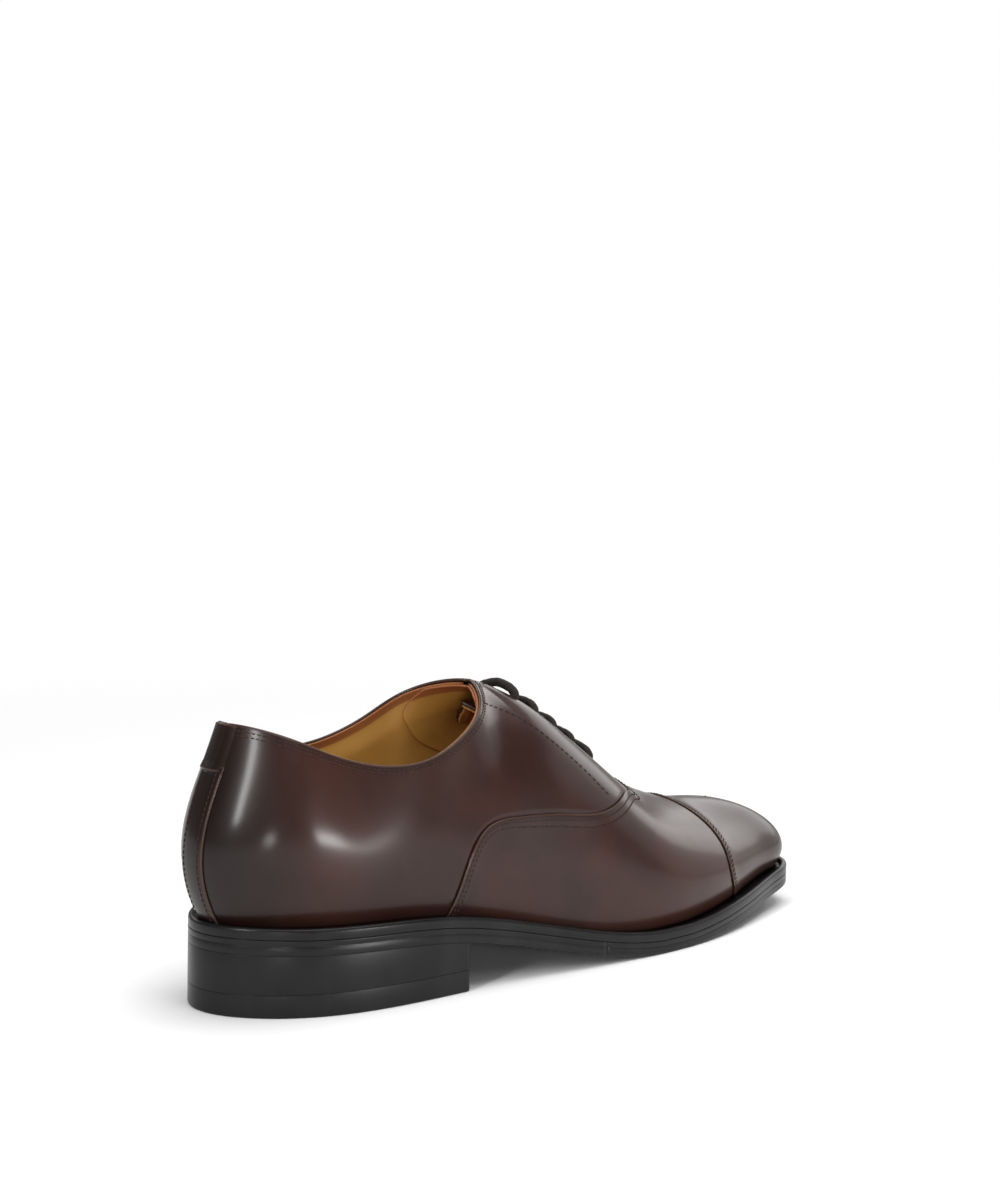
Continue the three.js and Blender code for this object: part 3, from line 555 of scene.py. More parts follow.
# One fine groove is moulded in the outsole's edge, given as (inset, drop from the upper face).
SOLE_GROOVE = [(0, -2.2), (0.09, -2.0), (0.09, -1.8), (0, -1.6)]
rear_sole = slab("outsole_rear", 0, TREAD_START - BREAK, 0, above(0), above(SOLE), grooves=SOLE_GROOVE)
finish_piece(rear_sole, "shoe", black_rubber, "sole_rubber", "outsole")
front_sole = slab("outsole_front", TREAD_START - BREAK, LENGTH, 0, above(TREAD), above(SOLE),
                  grooves=SOLE_GROOVE)
finish_piece(front_sole, "shoe", black_rubber, "sole_rubber", "outsole")
tread = slab("tread", TREAD_START, LENGTH, 0, above(0), above(TREAD + BUTT), low_round=EDGE_ROUND)
finish_piece(tread, "shoe", black_rubber, "sole_rubber", "tread_sole")

# The welt: a moulded strip whose outer lip is rounded and whose ledge carries the upper. Its
# section is given as (inset, height), stretched a little so that it fills the welt's own height.
WELT_WIDTH = 15.0
WELT_STRETCH = 3.95 / 3.7
welt_section = [(0.4, 0.0), (0.1, 0.12), (0.0, 0.5), (0.0, 2.6), (0.1, 3.1), (0.35, 3.5), (0.8, 3.7),
                (1.7, 3.7), (2.3, 3.5), (2.6, 3.1), (2.7, 2.5), (2.8, 2.2), (3.2, 2.1), (WELT_WIDTH, 2.1),
                (WELT_WIDTH, 0.0)]
around = np.linspace(0, 2, 401)[:-1]
welt_side = np.where(around < 1, LAT, MED)
welt_s = np.where(around < 1, around, 2 - around)
welt_points = []
for inset, lift in welt_section:
    plan = outline(welt_side, welt_s, 0 * welt_s + inset)
    height = underside(plan[:, 0]) + SOLE + BUTT + lift * WELT_STRETCH
    welt_points.append(np.column_stack([plan, height]))
rings, count = len(welt_section), len(around)
welt_faces = [(k * count + i, k * count + (i + 1) % count, (k + 1) % rings * count + (i + 1) % count,
               (k + 1) % rings * count + i) for k in range(rings) for i in range(count)]
welt = new_object("welt_rim", placed(np.concatenate(welt_points)), welt_faces)
tidy(welt)
finish_piece(welt, "shoe", black_rubber, "sole_rubber", "welt")

# ---- Quarters, vamp and toe cap ------------------------------------------------------------
# Box calf cut to pattern and polished: the two quarters make the sides, the vamp is stitched
# over their front edges, and the toe cap over the vamp. Each edge is folded and skived thin.
SECTION = 80.0
STATION = math.pi / 2 * LENGTH
vamp_seam = spline([0.352, 0.372, 0.392, 0.42, 0.48, 0.548, 0.585, 0.612, 0.622],
                   [0, 0.3, 0.46, 0.5, 0.385, 0.5, 0.65, 0.82, 1])
cap_seam = spline([0, 0.15, 0.4, 0.7, 1], [0.714, 0.694, 0.696, 0.712, 0.728])
SEAM_START, THROAT, THROAT_SIDE = 0.352, 0.622, 0.58
FACING_GAP = 5.0
FACING_CORNER = 0.012
FACING_END = 0.617
HEEL_SPLIT = 0.0004


def vamp_edge(s, distance):
    """The vamp's edge, moved a distance in mm towards the topline."""
    tilt = (vamp_seam(s + 0.001) - vamp_seam(s - 0.001)) / 0.002 * SECTION / STATION
    return vamp_seam(s) + distance * np.hypot(1, tilt) / SECTION


def facing_edge(side, s):
    """The quarter's upper edge: the topline, then the facing beside the lace slot."""
    opening = np.clip((s - FACING_TOP) / FACING_CORNER, 0, 1) ** 0.5
    return np.where(s <= FACING_TOP, 1, down_from_ridge(side, s, FACING_GAP / 2 * opening))


def distance_to(points, line):
    """The distance in mm from each point to a polyline's nearest point."""
    flat_points = points.reshape(-1, 3)
    best = np.full(len(flat_points), 1e9)
    for chunk in np.array_split(line, max(1, len(line) // 40)):
        gap = np.linalg.norm(flat_points[:, None] - chunk[None], axis=-1).min(1)
        best = np.minimum(best, gap)
    return best.reshape(points.shape[:-1])


class Cut:
    """A leather part: joined grids on the last, given thickness with rounded edges."""

    def __init__(self):
        self.points, self.normals, self.faces, self.marks, self.size = [], [], [], [], 0

    def grid(self, side, s, h):
        """s and h are arrays of one shape: the part's grid of places on the last."""
        points, normals = skin(side, s, h), skin_normal(side, s, h)
        return self.add(side, points, normals, s, h)

    def add(self, side, points, normals, s, h):
        columns, rows = points.shape[:2]
        index = self.size + np.arange(columns * rows).reshape(columns, rows)
        quads = np.stack([index[:-1, :-1], index[1:, :-1], index[1:, 1:], index[:-1, 1:]], -1)
        quads = quads.reshape(-1, 4)
        self.faces.append(quads if side < 0 else quads[:, ::-1])
        self.points.append(points.reshape(-1, 3))
        self.normals.append(normals.reshape(-1, 3))
        self.marks.append(np.column_stack([np.full(points[..., 0].size, side), s.ravel(), h.ravel()]))
        self.size += columns * rows
        return self

    def band(self, side, start, end, columns, rows, bottom, top):
        """A grid between two stations; bottom and top give its edges at each station."""
        s = mix(start, end, np.linspace(0, 1, columns + 1))
        v = np.linspace(0, 1, rows + 1)
        return self.grid(side, s[:, None] + 0 * v, mix(bottom(s)[:, None], top(s)[:, None], v))

    def joined(self):
        """The grids as one sheet, with the points that two of them share made one."""
        points, normals = np.concatenate(self.points), np.concatenate(self.normals)
        marks = np.concatenate(self.marks)
        _, first, index = np.unique(np.round(points * 200).astype(int), axis=0, return_index=True,
                                    return_inverse=True)
        index = index.ravel()
        total = np.zeros((len(first), 3))
        np.add.at(total, index, normals)
        faces = []
        for face in index[np.concatenate(self.faces)]:
            kept = list(dict.fromkeys(face.tolist()))
            if len(kept) > 2:
                faces.append(kept)
        return points[first], unit(total), faces, marks[first]

    def solid(self, name, outer, inner, steps=6):
        """outer and inner give the two surfaces' heights over the last, in mm, from the points."""
        points, normals, faces, marks = self.joined()
        high = np.broadcast_to(outer(points, marks), len(points)).astype(float)
        low = np.broadcast_to(inner(points, marks), len(points)).astype(float)
        edges = {}
        for face in faces:
            for a, b in zip(face, face[1:] + face[:1]):
                if (b, a) in edges:
                    del edges[(b, a)]
                else:
                    edges[(a, b)] = True
        border = np.array(sorted({v for edge in edges for v in edge}))
        slot_of = {v: k for k, v in enumerate(border)}
        outwards = np.zeros_like(points)
        for a, b in edges:
            push = np.cross(points[b] - points[a], normals[a] + normals[b])
            outwards[a] += push
            outwards[b] += push
        outwards = unit(outwards[border])
        count = len(points)
        middle, half = (high + low)[border] / 2, (high - low)[border] / 2
        everything = [points + normals * high[:, None], points + normals * low[:, None]]
        for k in range(1, steps):
            angle = math.pi * k / steps
            lift = middle + half * math.cos(angle)
            everything.append(points[border] + normals[border] * lift[:, None]
                              + outwards * (half * math.sin(angle))[:, None])
        rows = [lambda v: v]
        rows += [lambda v, k=k: 2 * count + (k - 1) * len(border) + slot_of[v] for k in range(1, steps)]
        rows += [lambda v: count + v]
        everything_faces = [*faces, *([v + count for v in face[::-1]] for face in faces)]
        for a, b in edges:
            for upper, lower in zip(rows, rows[1:]):
                everything_faces.append([upper(b), upper(a), lower(a), lower(b)])
        piece = new_object(name, placed(np.concatenate(everything)), everything_faces)
        reach = distance_to(points, points[border])
        rim = np.zeros((steps - 1) * len(border))
        layer = piece.data.attributes.new("edge_distance", "FLOAT", "POINT")
        layer.data.foreach_set("value", np.concatenate([reach, reach, rim]).astype(np.float32))
        return piece


def eased(piece, centre, radius, rounds):
    """Smooths a piece's points near one place, where its grid closes or crosses the ridge."""
    shape = bmesh.new()
    shape.from_mesh(piece.data)
    centre = Vector(np.ravel(centre))
    near = [v for v in shape.verts if (v.co - centre).length < radius]
    for _ in range(rounds):
        bmesh.ops.smooth_vert(shape, verts=near, factor=0.5, use_axis_x=True, use_axis_y=True,
                              use_axis_z=True)
    shape.to_mesh(piece.data)
    shape.free()


lines = np.linspace(0, 1, 160)
seam_s = mix(SEAM_START, THROAT, lines)
vamp_line = {side: skin(side, seam_s, np.clip(vamp_seam(seam_s), 0, 1)) for side in (LAT, MED)}
both_vamp_lines = np.concatenate([vamp_line[LAT], vamp_line[MED]])
cap_line = {side: skin(side, cap_seam(lines), lines) for side in (LAT, MED)}
both_cap_lines = np.concatenate([cap_line[LAT], cap_line[MED]])

# The upper piece of a seam is raised by a step that dies away from its edge; the lower one sinks
# below it from just before the seam line.
OVERLAP = 5.0
STEP, STEP_REACH = 0.55, 4.5
SINK_BEFORE, SINK_OVER = 2.2, 3.2
FOLDED, SKIVED = 1.25, 0.85
UNDERLAP_START = SEAM_START + 0.01


def raised(away):
    return STEP * np.exp(-(away / STEP_REACH) ** 2)


def sunk(past):
    return -STEP * smooth((past + SINK_BEFORE) / SINK_OVER)


def quarter_height(points, marks):
    """The quarter's outer surface: flush, but sunk where the vamp covers it."""
    side, s, h = marks.T
    past = np.where(s < THROAT, (vamp_seam(np.minimum(s, THROAT)) - h), 1) > 0
    return sunk(distance_to(points, both_vamp_lines) * np.where(past & (s > SEAM_START), 1, -1))


def quarter_foot(s):
    """The quarter's lower edge: on the welt behind, tucked under the vamp in front."""
    tucked = vamp_edge(np.minimum(s, THROAT), -OVERLAP)
    return np.where(s <= UNDERLAP_START, 0, np.maximum(tucked, 0))


def vamp_top(s):
    return np.where(s > THROAT - 1e-6, 1, np.clip(vamp_edge(s, -STEP / 2), 0, 1))


quarters = {}
for side, word in ((LAT, "lateral"), (MED, "medial")):
    cut = Cut()
    for start, end, columns in ((HEEL_SPLIT, UNDERLAP_START, 100), (UNDERLAP_START, FACING_TOP, 66),
                                (FACING_TOP, FACING_END, 84)):
        cut.band(side, start, end, columns, 84, quarter_foot, lambda s: facing_edge(side, s))
    quarters[word] = cut.solid(f"quarter_{word}_leather", quarter_height,
                               lambda p, m: quarter_height(p, m) * 0.6 - FOLDED)

vamp_cut, cap_cut = Cut(), Cut()
for side in (LAT, MED):
    vamp_cut.band(side, SEAM_START, THROAT_SIDE, 100, 56, level(0), vamp_top)
    vamp_cut.band(side, THROAT_SIDE, THROAT, 30, 56, level(0), vamp_top)
    v = np.linspace(0, 1, 57)
    u = np.linspace(0, 1, 61)[:, None]
    vamp_cut.grid(side, mix(THROAT, cap_seam(v) + OVERLAP / STATION, u), v + 0 * u)
    v = np.linspace(0, 1, 71)
    u = np.linspace(0, 1, 91)[:, None]
    cap_cut.grid(side, mix(cap_seam(v) + STEP / 2 / STATION, 1, u), v + 0 * u)


def vamp_height(points, marks):
    """The vamp's outer surface: raised along its edge, and sunk where the toe cap covers it."""
    side, s, h = marks.T
    beyond = (s - cap_seam(np.clip(h, 0, 1))) * STATION
    return raised(distance_to(points, both_vamp_lines)) + sunk(beyond)


def cap_height(points, marks):
    return raised(distance_to(points, both_cap_lines))


vamp = vamp_cut.solid("vamp_leather", vamp_height, lambda p, m: vamp_height(p, m) - SKIVED)
toe_cap = cap_cut.solid("toe_cap_leather", cap_height, lambda p, m: cap_height(p, m) - SKIVED)
TIP_REACH, TIP_ROUNDS = 0.014, 14
eased(toe_cap, placed(skin(LAT, 1.0, 1.0)), TIP_REACH, TIP_ROUNDS)

# Dark reddish brown with a cloudy polish, burnished darker at toe and seams; darker at the heel partly
# from burnish and partly as painted shade; lighter along each cut edge, partly raw leather and partly
# a painted highlight on the rounded edge.
box_calf = Finish("box_calf", Specular_IOR_Level=0.16, Coat_Weight=0.5, Coat_Roughness=0.19, Coat_IOR=1.4)
cloud = box_calf.noise(14, 3, 0.55, 0.4)
patch = box_calf.noise(38, 4, 0.6, 0.3)
tone = box_calf.blend(cloud.held(0.36, 0.66), (0.0215, 0.0064, 0.0042), (0.037, 0.0136, 0.0088))
tone = box_calf.blend(patch.held(0.45, 0.75) * 0.5, tone, (0.049, 0.0118, 0.0078))
# Darker towards the heel: partly burnish, partly painted shade.
heel_burnish_and_shade = (1 - box_calf.axis(0).held(-0.147, -0.112)) * 1.5
toe_dark = box_calf.axis(0).held(0.075, 0.14)
tone = box_calf.blend(heel_burnish_and_shade * 0.62 + toe_dark * 0.5, tone, (0.007, 0.0032, 0.0027))
rim_near = box_calf.attribute("edge_distance")
tone = box_calf.blend((1 - rim_near.held(0.4, 2.6)) * 0.55, tone, (0.012, 0.006, 0.0055))
# A thin lighter band on each rounded cut edge: partly raw leather, partly a painted highlight.
tone = box_calf.blend((1 - rim_near.held(0.05, 0.5)) * 0.5, tone, (0.075, 0.036, 0.021))
box_calf.feed("Base Color", tone)
box_calf.feed("Roughness", box_calf.noise(60, 4) * 0.14 + 0.36)
pore = box_calf.node("ShaderNodeTexVoronoi", {"feature": "F1"}, Vector=box_calf.place, Scale=1500.0)
grain = pore * 0.55 + box_calf.noise(900, 3) * 0.7 + box_calf.noise(130, 3) * 1.6
box_calf.bump(grain, 0.00004, 0.35)

finish_piece(quarters["lateral"], "shoe", box_calf, "upper_leather", "quarter_lateral")
finish_piece(quarters["medial"], "shoe", box_calf, "upper_leather", "quarter_medial")
finish_piece(vamp, "shoe", box_calf, "upper_leather", "vamp")
finish_piece(toe_cap, "shoe", box_calf, "upper_leather", "toe_cap")

# ---- Backstay and heel tab -----------------------------------------------------------------
# A narrow calf strip that covers the back seam from the welt up, and the small tab, cut in one
# with the lateral quarter, that folds over its top end. Both are stitched down.
STRIP_WIDTH, STRIP_THICK = 11.0, 0.8
TAB_FOOT = 1 - 17 / SECTION
TAB_WIDTH = 15.0


def half_around(width, h):
    """The station whose surface lies half the width from the back seam, at each h."""
    s = np.linspace(0, 0.12, 241)
    away = np.abs(skin(LAT, s[None], np.asarray(h)[:, None])[..., 1])
    return np.array([np.interp(width / 2, row, s) for row in away])


def back_cut(width, low, high, columns, rows):
    cut = Cut()
    h = np.linspace(low, high, rows + 1)
    for side in (LAT, MED):
        u = np.linspace(0, 1, columns + 1)[:, None]
        cut.grid(side, half_around(width, h)[None] * u, h[None] + 0 * u)
    return cut


def strip_height(points, marks):
    """The strip's outer surface, thinned where it slips under the tab."""
    return STRIP_THICK - 0.5 * smooth((marks[:, 2] - TAB_FOOT + 0.02) / 0.03)


backstay = back_cut(STRIP_WIDTH, 0.0, TAB_FOOT + 0.02, 8, 120).solid(
    "backstay_strip", strip_height, lambda p, m: -0.1)
finish_piece(backstay, "shoe", box_calf, "upper_leather", "backstay")


def tab_height(points, marks):
    """The tab grows out of the medial side's surface and stands proud at its free end."""
    across = marks[:, 0] * np.abs(points[:, 1])
    lateral_end = smooth((across + TAB_WIDTH / 2) / 7)
    lower_end = 1 - smooth((marks[:, 2] - TAB_FOOT) / 0.05)
    return mix(-0.25, 0.75 + 0.35 * lower_end, lateral_end)


heel_tab = back_cut(TAB_WIDTH, TAB_FOOT, 0.995, 24, 30).solid(
    "heel_tab_leather", tab_height, lambda p, m: tab_height(p, m) - SKIVED)
finish_piece(heel_tab, "shoe", box_calf, "upper_leather", "heel_tab")

# ---- Linings, tapes and sock ---------------------------------------------------------------
# Vegetable-tanned lining leather, golden tan: it comes up to the outer leather at the topline,
# and the facing linings lie over it with a rounded back edge. The sock covers the footbed.
LINING = 0.9
SEAT = 3.9
UNDER = LINING + 0.1
LOW, HIGH = 0.012, 0.997
SIDE_SEAM = 0.53
facing_back = spline([0.5, 0.57, 0.65, 0.73, 0.82, 0.93, 1],
                     [0.49, 0.469, 0.456, 0.447, 0.4415, 0.4405, 0.452])


def lining_depth(marks):
    """How deep the lining lies: against the leather at the edges, further in below them."""
    side, s, h = marks.T
    below = (1 - h) * SECTION
    at_mouth = mix(1.55, SEAT, smooth(below / 14))
    at_facing = mix(1.9, SEAT, smooth((below - 24) / 12))
    return mix(at_mouth, at_facing, smooth((s - FACING_TOP + 0.01) / 0.04))


def lining_solid(cut, name, inwards):
    """A lining; its points carry how far they lie below the top, for the band dyed along it."""
    piece = cut.solid(name, lambda p, m: -lining_depth(m) - inwards,
                      lambda p, m: -lining_depth(m) - inwards - LINING)
    marks = cut.joined()[3]
    rim = np.full(len(piece.data.vertices) - 2 * len(marks), 2.0)
    below = (1 - marks[:, 2]) * SECTION
    below = np.concatenate([below, below, rim])
    layer = piece.data.attributes.new("below_top", "FLOAT", "POINT")
    layer.data.foreach_set("value", below.astype(np.float32))
    return piece


golden = Finish("lining_tan", Roughness=0.5, Specular_IOR_Level=0.35)
wash = golden.noise(28, 4, 0.6)
hide = golden.blend(wash.held(0.3, 0.7), (0.42, 0.215, 0.045), (0.52, 0.28, 0.07))
hide = golden.blend(golden.noise(7, 2).held(0.35, 0.65) * 0.5, hide, (0.38, 0.175, 0.035))
band_red = 1 - golden.attribute("below_top").held(3.2, 4.2)
golden.feed("Base Color", golden.blend(band_red * 0.85, hide, (0.26, 0.075, 0.025)))
golden.feed("Roughness", golden.noise(50, 3) * 0.2 + 0.38)
golden.bump(golden.noise(700, 3) + golden.noise(90, 3) * 0.8, 0.00006, 0.4)

sock_tan = Finish("sock_tan", Roughness=0.55, Specular_IOR_Level=0.3)
sock_tan.feed("Base Color", sock_tan.blend(sock_tan.noise(25, 4).held(0.3, 0.7), (0.36, 0.17, 0.05),
                                           (0.46, 0.235, 0.08)))
sock_tan.bump(sock_tan.noise(650, 3) + sock_tan.noise(80, 3), 0.00006, 0.4)

canvas = Finish("backing_canvas", Roughness=0.9)
warp, weft = (canvas.node("ShaderNodeTexWave", {"bands_direction": way}, output=1, Vector=canvas.place,
                          Scale=900.0) for way in "XZ")
canvas.feed("Base Color", canvas.blend((warp + weft) * 0.5, (0.42, 0.36, 0.27), (0.62, 0.56, 0.44)))
canvas.bump(warp + weft, 0.00008, 0.6)

for side, word in ((LAT, "lateral"), (MED, "medial")):
    cut = Cut()
    cut.band(side, HEEL_SPLIT, FACING_TOP - 0.003, 100, 52, level(LOW), level(HIGH))
    piece = lining_solid(cut, f"quarter_lining_{word}_leather", 0)
    finish_piece(piece, "shoe", golden, "lining_leather", f"quarter_lining_{word}")

    cut = Cut()
    low_h, high_h = 0.5, 0.9975
    v = np.linspace(0, 1, 57)
    u = np.linspace(0, 1, 25)[:, None]
    rise = mix(low_h, high_h, v)
    cut.grid(side, mix(facing_back(rise), FACING_TOP + 0.02, u), rise + 0 * u)
    s = mix(FACING_TOP + 0.02, FACING_END - 0.006, np.linspace(0, 1, 51))
    tops = np.minimum(facing_edge(side, s) - 1.6 / SECTION, high_h)
    cut.grid(side, s[:, None] + 0 * v, mix(low_h, tops[:, None], v))
    piece = lining_solid(cut, f"facing_lining_{word}_leather", UNDER)
    finish_piece(piece, "shoe", golden, "facing_lining_leather", f"facing_lining_{word}")

    cut = Cut()
    cut.band(side, 0.26, FACING_TOP - 0.03, 60, 4, level(0.93), level(0.985))
    tape = cut.solid(f"topline_tape_{word}_web", lambda p, m: -1.3, lambda p, m: -1.5)
    finish_piece(tape, "shoe", canvas, "stiffener", f"topline_tape_{word}")

    cut = Cut()
    s = mix(FACING_TOP + 0.006, 0.592, np.linspace(0, 1, 41))
    v = np.linspace(0, 1, 9)
    low, high = down_from_ridge(side, s, 20), down_from_ridge(side, s, FACING_GAP / 2 + 1.5)
    cut.grid(side, s[:, None] + 0 * v, mix(low[:, None], high[:, None], v))
    stay = cut.solid(f"eyelet_stay_{word}_web", lambda p, m: -1.45, lambda p, m: -1.75)
    finish_piece(stay, "shoe", canvas, "stiffener", f"eyelet_stay_{word}")

cut = Cut()
for side in (LAT, MED):
    cut.band(side, 0.455, FACING_END, 60, 30, level(LOW), level(SIDE_SEAM))
    cut.band(side, FACING_END, 0.995, 80, 30, level(LOW), level(SIDE_SEAM))
    cut.band(side, FACING_END, 0.995, 80, 28, level(SIDE_SEAM), level(1))
piece = lining_solid(cut, "vamp_lining_leather", UNDER)
finish_piece(piece, "shoe", golden, "lining_leather", "vamp_lining")

INSOLE, SOCK = 2.4, 1.0
SOCK_BASE = EDGE - LEDGE_DROP + FIT + INSOLE + FIT
SOCK_EDGE = SEAT + UNDER
sock = slab("sock_leather", HEEL_MARGIN + SOCK_EDGE, LENGTH - TOE_MARGIN - SOCK_EDGE, SOCK_EDGE,
            above(SOCK_BASE), above(SOCK_BASE + SOCK), across=16, high_round=0.5, margined=True)
finish_piece(sock, "shoe", sock_tan, "sock_leather", "sock")

# ---- Tongue --------------------------------------------------------------------------------
# A soft leather tongue with its own lining, stitched in at the throat, that swells a little
# between the two facings. It swings a few degrees down into the shoe about its root.
TONGUE_TOP, TONGUE_BASE = 42.0, 30.0
TONGUE_RISE = 5.0
TONGUE_DEPTH = 9.0
TONGUE_END = 0.632
TONGUE_SWELL = 4.2
TONGUE_THICK = 1.3


def tongue_cut(trim):
    """The tongue's sheet, trimmed at its sides, with a short rise above the facings' top."""
    cut = Cut()
    ease = unit(crown(MED, FACING_TOP) - crown(MED, FACING_TOP + 0.01))
    for side in (LAT, MED):
        along = np.concatenate([np.linspace(-0.06, -0.001, 8), np.linspace(0, 1, 90)])
        s = mix(FACING_TOP + 0.003, TONGUE_END, np.clip(along, 0, 1))
        half = mix(TONGUE_TOP, TONGUE_BASE, np.clip(along, 0, 1)) / 2 - trim
        v = np.linspace(0, 1, 31)
        h = down_from_ridge(side, s[:, None] + 0 * v, half[:, None] * v)
        points = skin(side, s[:, None], h)
        normals = skin_normal(side, s[:, None], h)
        normals = unit(mix(normals, skin_normal(side, s[:, None] + 0 * v, 1 + 0 * h), 0.3))
        lift = np.clip(-along / 0.06, 0, 1)[:, None] * (TONGUE_RISE - trim) * np.sqrt(1 - 0.5 * v ** 2)
        points = points + ease * lift[..., None]
        cut.add(side, points, normals, s[:, None] + 0 * v, half[:, None] * v + 0 * h)
    return cut


def tongue_face(points, marks):
    """The tongue's outer face: pressed up between the facings, flat under them."""
    across = marks[:, 2]
    under_throat = smooth((marks[:, 1] - 0.595) / 0.02)
    clear_of_top = smooth((marks[:, 1] - FACING_TOP - 0.004) / 0.03)
    swell = TONGUE_SWELL * np.exp(-(across / 6.0) ** 2)
    return -TONGUE_DEPTH + swell * (1 - under_throat) * clear_of_top


tongue_leather = Finish("tongue_calf", Roughness=0.42, Specular_IOR_Level=0.45)
tongue_leather.feed("Base Color", tongue_leather.blend(tongue_leather.noise(40, 4).held(0.35, 0.7),
                                                       (0.026, 0.010, 0.008), (0.044, 0.018, 0.013)))
tongue_leather.bump(tongue_leather.noise(900, 3) + tongue_leather.noise(150, 3) * 1.4, 0.00006, 0.4)
tongue = tongue_cut(0).solid("tongue_leather", tongue_face, lambda p, m: tongue_face(p, m) - TONGUE_THICK)
tongue_top = placed(skin(LAT, FACING_TOP, 1.0))
TOP_REACH, TOP_ROUNDS = 0.016, 24
eased(tongue, tongue_top, TOP_REACH, TOP_ROUNDS)
finish_piece(tongue, "tongue", tongue_leather, "upper_leather", "tongue")
tongue_lining = tongue_cut(0.8).solid("tongue_lining_leather", lambda p, m: tongue_face(p, m) - 1.45,
                                      lambda p, m: tongue_face(p, m) - 2.3)
eased(tongue_lining, tongue_top, TOP_REACH, TOP_ROUNDS)
finish_piece(tongue_lining, "tongue", sock_tan, "lining_leather", "tongue_lining")

# ---- Lace ----------------------------------------------------------------------------------
# One round braided cotton lace, straight laced: five bars across the facings, the runs from row
# to row hidden inside, and the two tipped ends tucked down beside the tongue.
EYELET_STATIONS = []
EYELET_FIRST, EYELET_PITCH, EYELET_INSET = 10.0, 13.0, 10.0
station, walked = FACING_TOP, 0.0
while len(EYELET_STATIONS) < 5:
    walked += float(np.linalg.norm(crown(MED, station + 0.0005) - crown(MED, station)))
    station += 0.0005
    if walked >= EYELET_FIRST + EYELET_PITCH * len(EYELET_STATIONS):
        EYELET_STATIONS.append(station)
LACE_RADIUS = 1.7
LACE_DEPTH = 6.9
LANE = 4.2


def eyelet_frame(side, row):
    """A hole's middle, and the directions outwards, towards the ridge and along the row."""
    s = EYELET_STATIONS[row]
    h = float(down_from_ridge(side, s, FACING_GAP / 2 + EYELET_INSET))
    point, normal = skin(side, s, h), skin_normal(side, s, h)
    inward = unit(skin(side, s, h + 0.01) - point)
    down = unit(np.cross(normal, inward) * side)
    return point, normal, inward, down


def bar(row, start):
    """Over the facings, from the hole on the starting side to the other: it lies plump."""
    found = [eyelet_frame(side, row) for side in (start, -start)]
    ends = [p + inward * 2.6 + normal * (LACE_RADIUS + 0.5) for p, normal, inward, _ in found]
    first, last = ends
    middle = (first + last) / 2
    middle[2] = float(crown(MED, EYELET_STATIONS[row])[2]) + LACE_RADIUS + 0.1
    quarter_in = [mix(end, middle, 0.5) + np.array((0.2, 0, 0.4)) for end in ends]
    return [first, quarter_in[0], middle, quarter_in[1], last]


def hole(side, row, down_by, across):
    """In through a hole, from over the facing to the lace's depth inside."""
    point, normal, inward, down = eyelet_frame(side, row)
    over = point + normal * 0.9 + inward * 0.5
    beneath = point - normal * (LACE_DEPTH - 0.1) + down * down_by + inward * across
    return [over, point - normal * 2.8, beneath]


def run(side, first, last, lane):
    """The hidden stretch between two rows, in a lane of its own."""
    stations = mix(EYELET_STATIONS[first], EYELET_STATIONS[last], np.array([1 / 3, 2 / 3]))
    h = down_from_ridge(side, stations, FACING_GAP / 2 + EYELET_INSET - lane)
    return list(skin(side, stations, h) - skin_normal(side, stations, h) * LACE_DEPTH)


def under(side, first, last, lane, tail=False):
    way = 1.6 if last > first else -1.6
    leave = hole(side, first, way, lane * 0.35)
    enter = [] if tail else hole(side, last, -way, lane * 0.35)[::-1]
    return leave + run(side, first, last, lane) + enter


route = under(LAT, 0, 2, -2.2 * LANE, tail=True)[::-1] + bar(0, LAT) + under(MED, 0, 2, -LANE)
route += bar(2, MED) + under(LAT, 2, 4, -LANE) + bar(4, LAT) + under(MED, 4, 3, 0)
route += bar(3, MED) + under(LAT, 3, 1, LANE) + bar(1, LAT) + under(MED, 1, 2, LANE, tail=True)


def through(points, spacing):
    """A smooth line through points, resampled evenly (a centripetal Catmull-Rom curve)."""
    points = np.array(points)
    points = np.concatenate([[2 * points[0] - points[1]], points, [2 * points[-1] - points[-2]]])
    line = []
    for a, b, c, d in zip(points, points[1:], points[2:], points[3:]):
        t1 = math.sqrt(np.linalg.norm(b - a))
        t2 = t1 + math.sqrt(np.linalg.norm(c - b))
        t3 = t2 + math.sqrt(np.linalg.norm(d - c))
        t = np.linspace(t1, t2, 24, endpoint=False)[:, None]
        ab, bc, cd = mix(a, b, t / t1), mix(b, c, (t - t1) / (t2 - t1)), mix(c, d, (t - t2) / (t3 - t2))
        line.append(mix(mix(ab, bc, t / t2), mix(bc, cd, (t - t1) / (t3 - t1)), (t - t1) / (t2 - t1)))
    line = np.concatenate(line + [points[-2][None]])
    gone = np.concatenate([[0], np.cumsum(np.linalg.norm(np.diff(line, axis=0), axis=1))])
    even = np.linspace(0, gone[-1], int(gone[-1] / spacing) + 1)
    return np.column_stack([np.interp(even, gone, line[:, k]) for k in range(3)])


def cord_mesh(name, line, radius, sides, relief=None):
    """A tube along a line, its frame carried without twist, closed at both ends."""
    along = unit(np.gradient(line, axis=0))
    normal = unit(np.cross(along[0], (0.3, 0.2, 1.0)))
    angle = np.linspace(0, 2 * math.pi, sides, endpoint=False)
    points = []
    for i, (p, way) in enumerate(zip(line, along)):
        normal = unit(normal - way * (normal @ way))
        sideways = np.cross(way, normal)
        size = radius[i] if relief is None else radius[i] * relief(i, angle)
        circle = np.cos(angle)[:, None] * normal + np.sin(angle)[:, None] * sideways
        points.append(p + circle * np.reshape(size + 0 * angle, (-1, 1)))
    n = len(line)
    points = np.concatenate([*points, [line[0]], [line[-1]]])
    faces = [(i * sides + k, i * sides + (k + 1) % sides, (i + 1) * sides + (k + 1) % sides,
              (i + 1) * sides + k) for i in range(n - 1) for k in range(sides)]
    faces += [(n * sides, (k + 1) % sides, k) for k in range(sides)]
    faces += [(n * sides + 1, (n - 1) * sides + k, (n - 1) * sides + (k + 1) % sides) for k in range(sides)]
    piece = new_object(name, placed(points), faces)
    tidy(piece)
    return piece


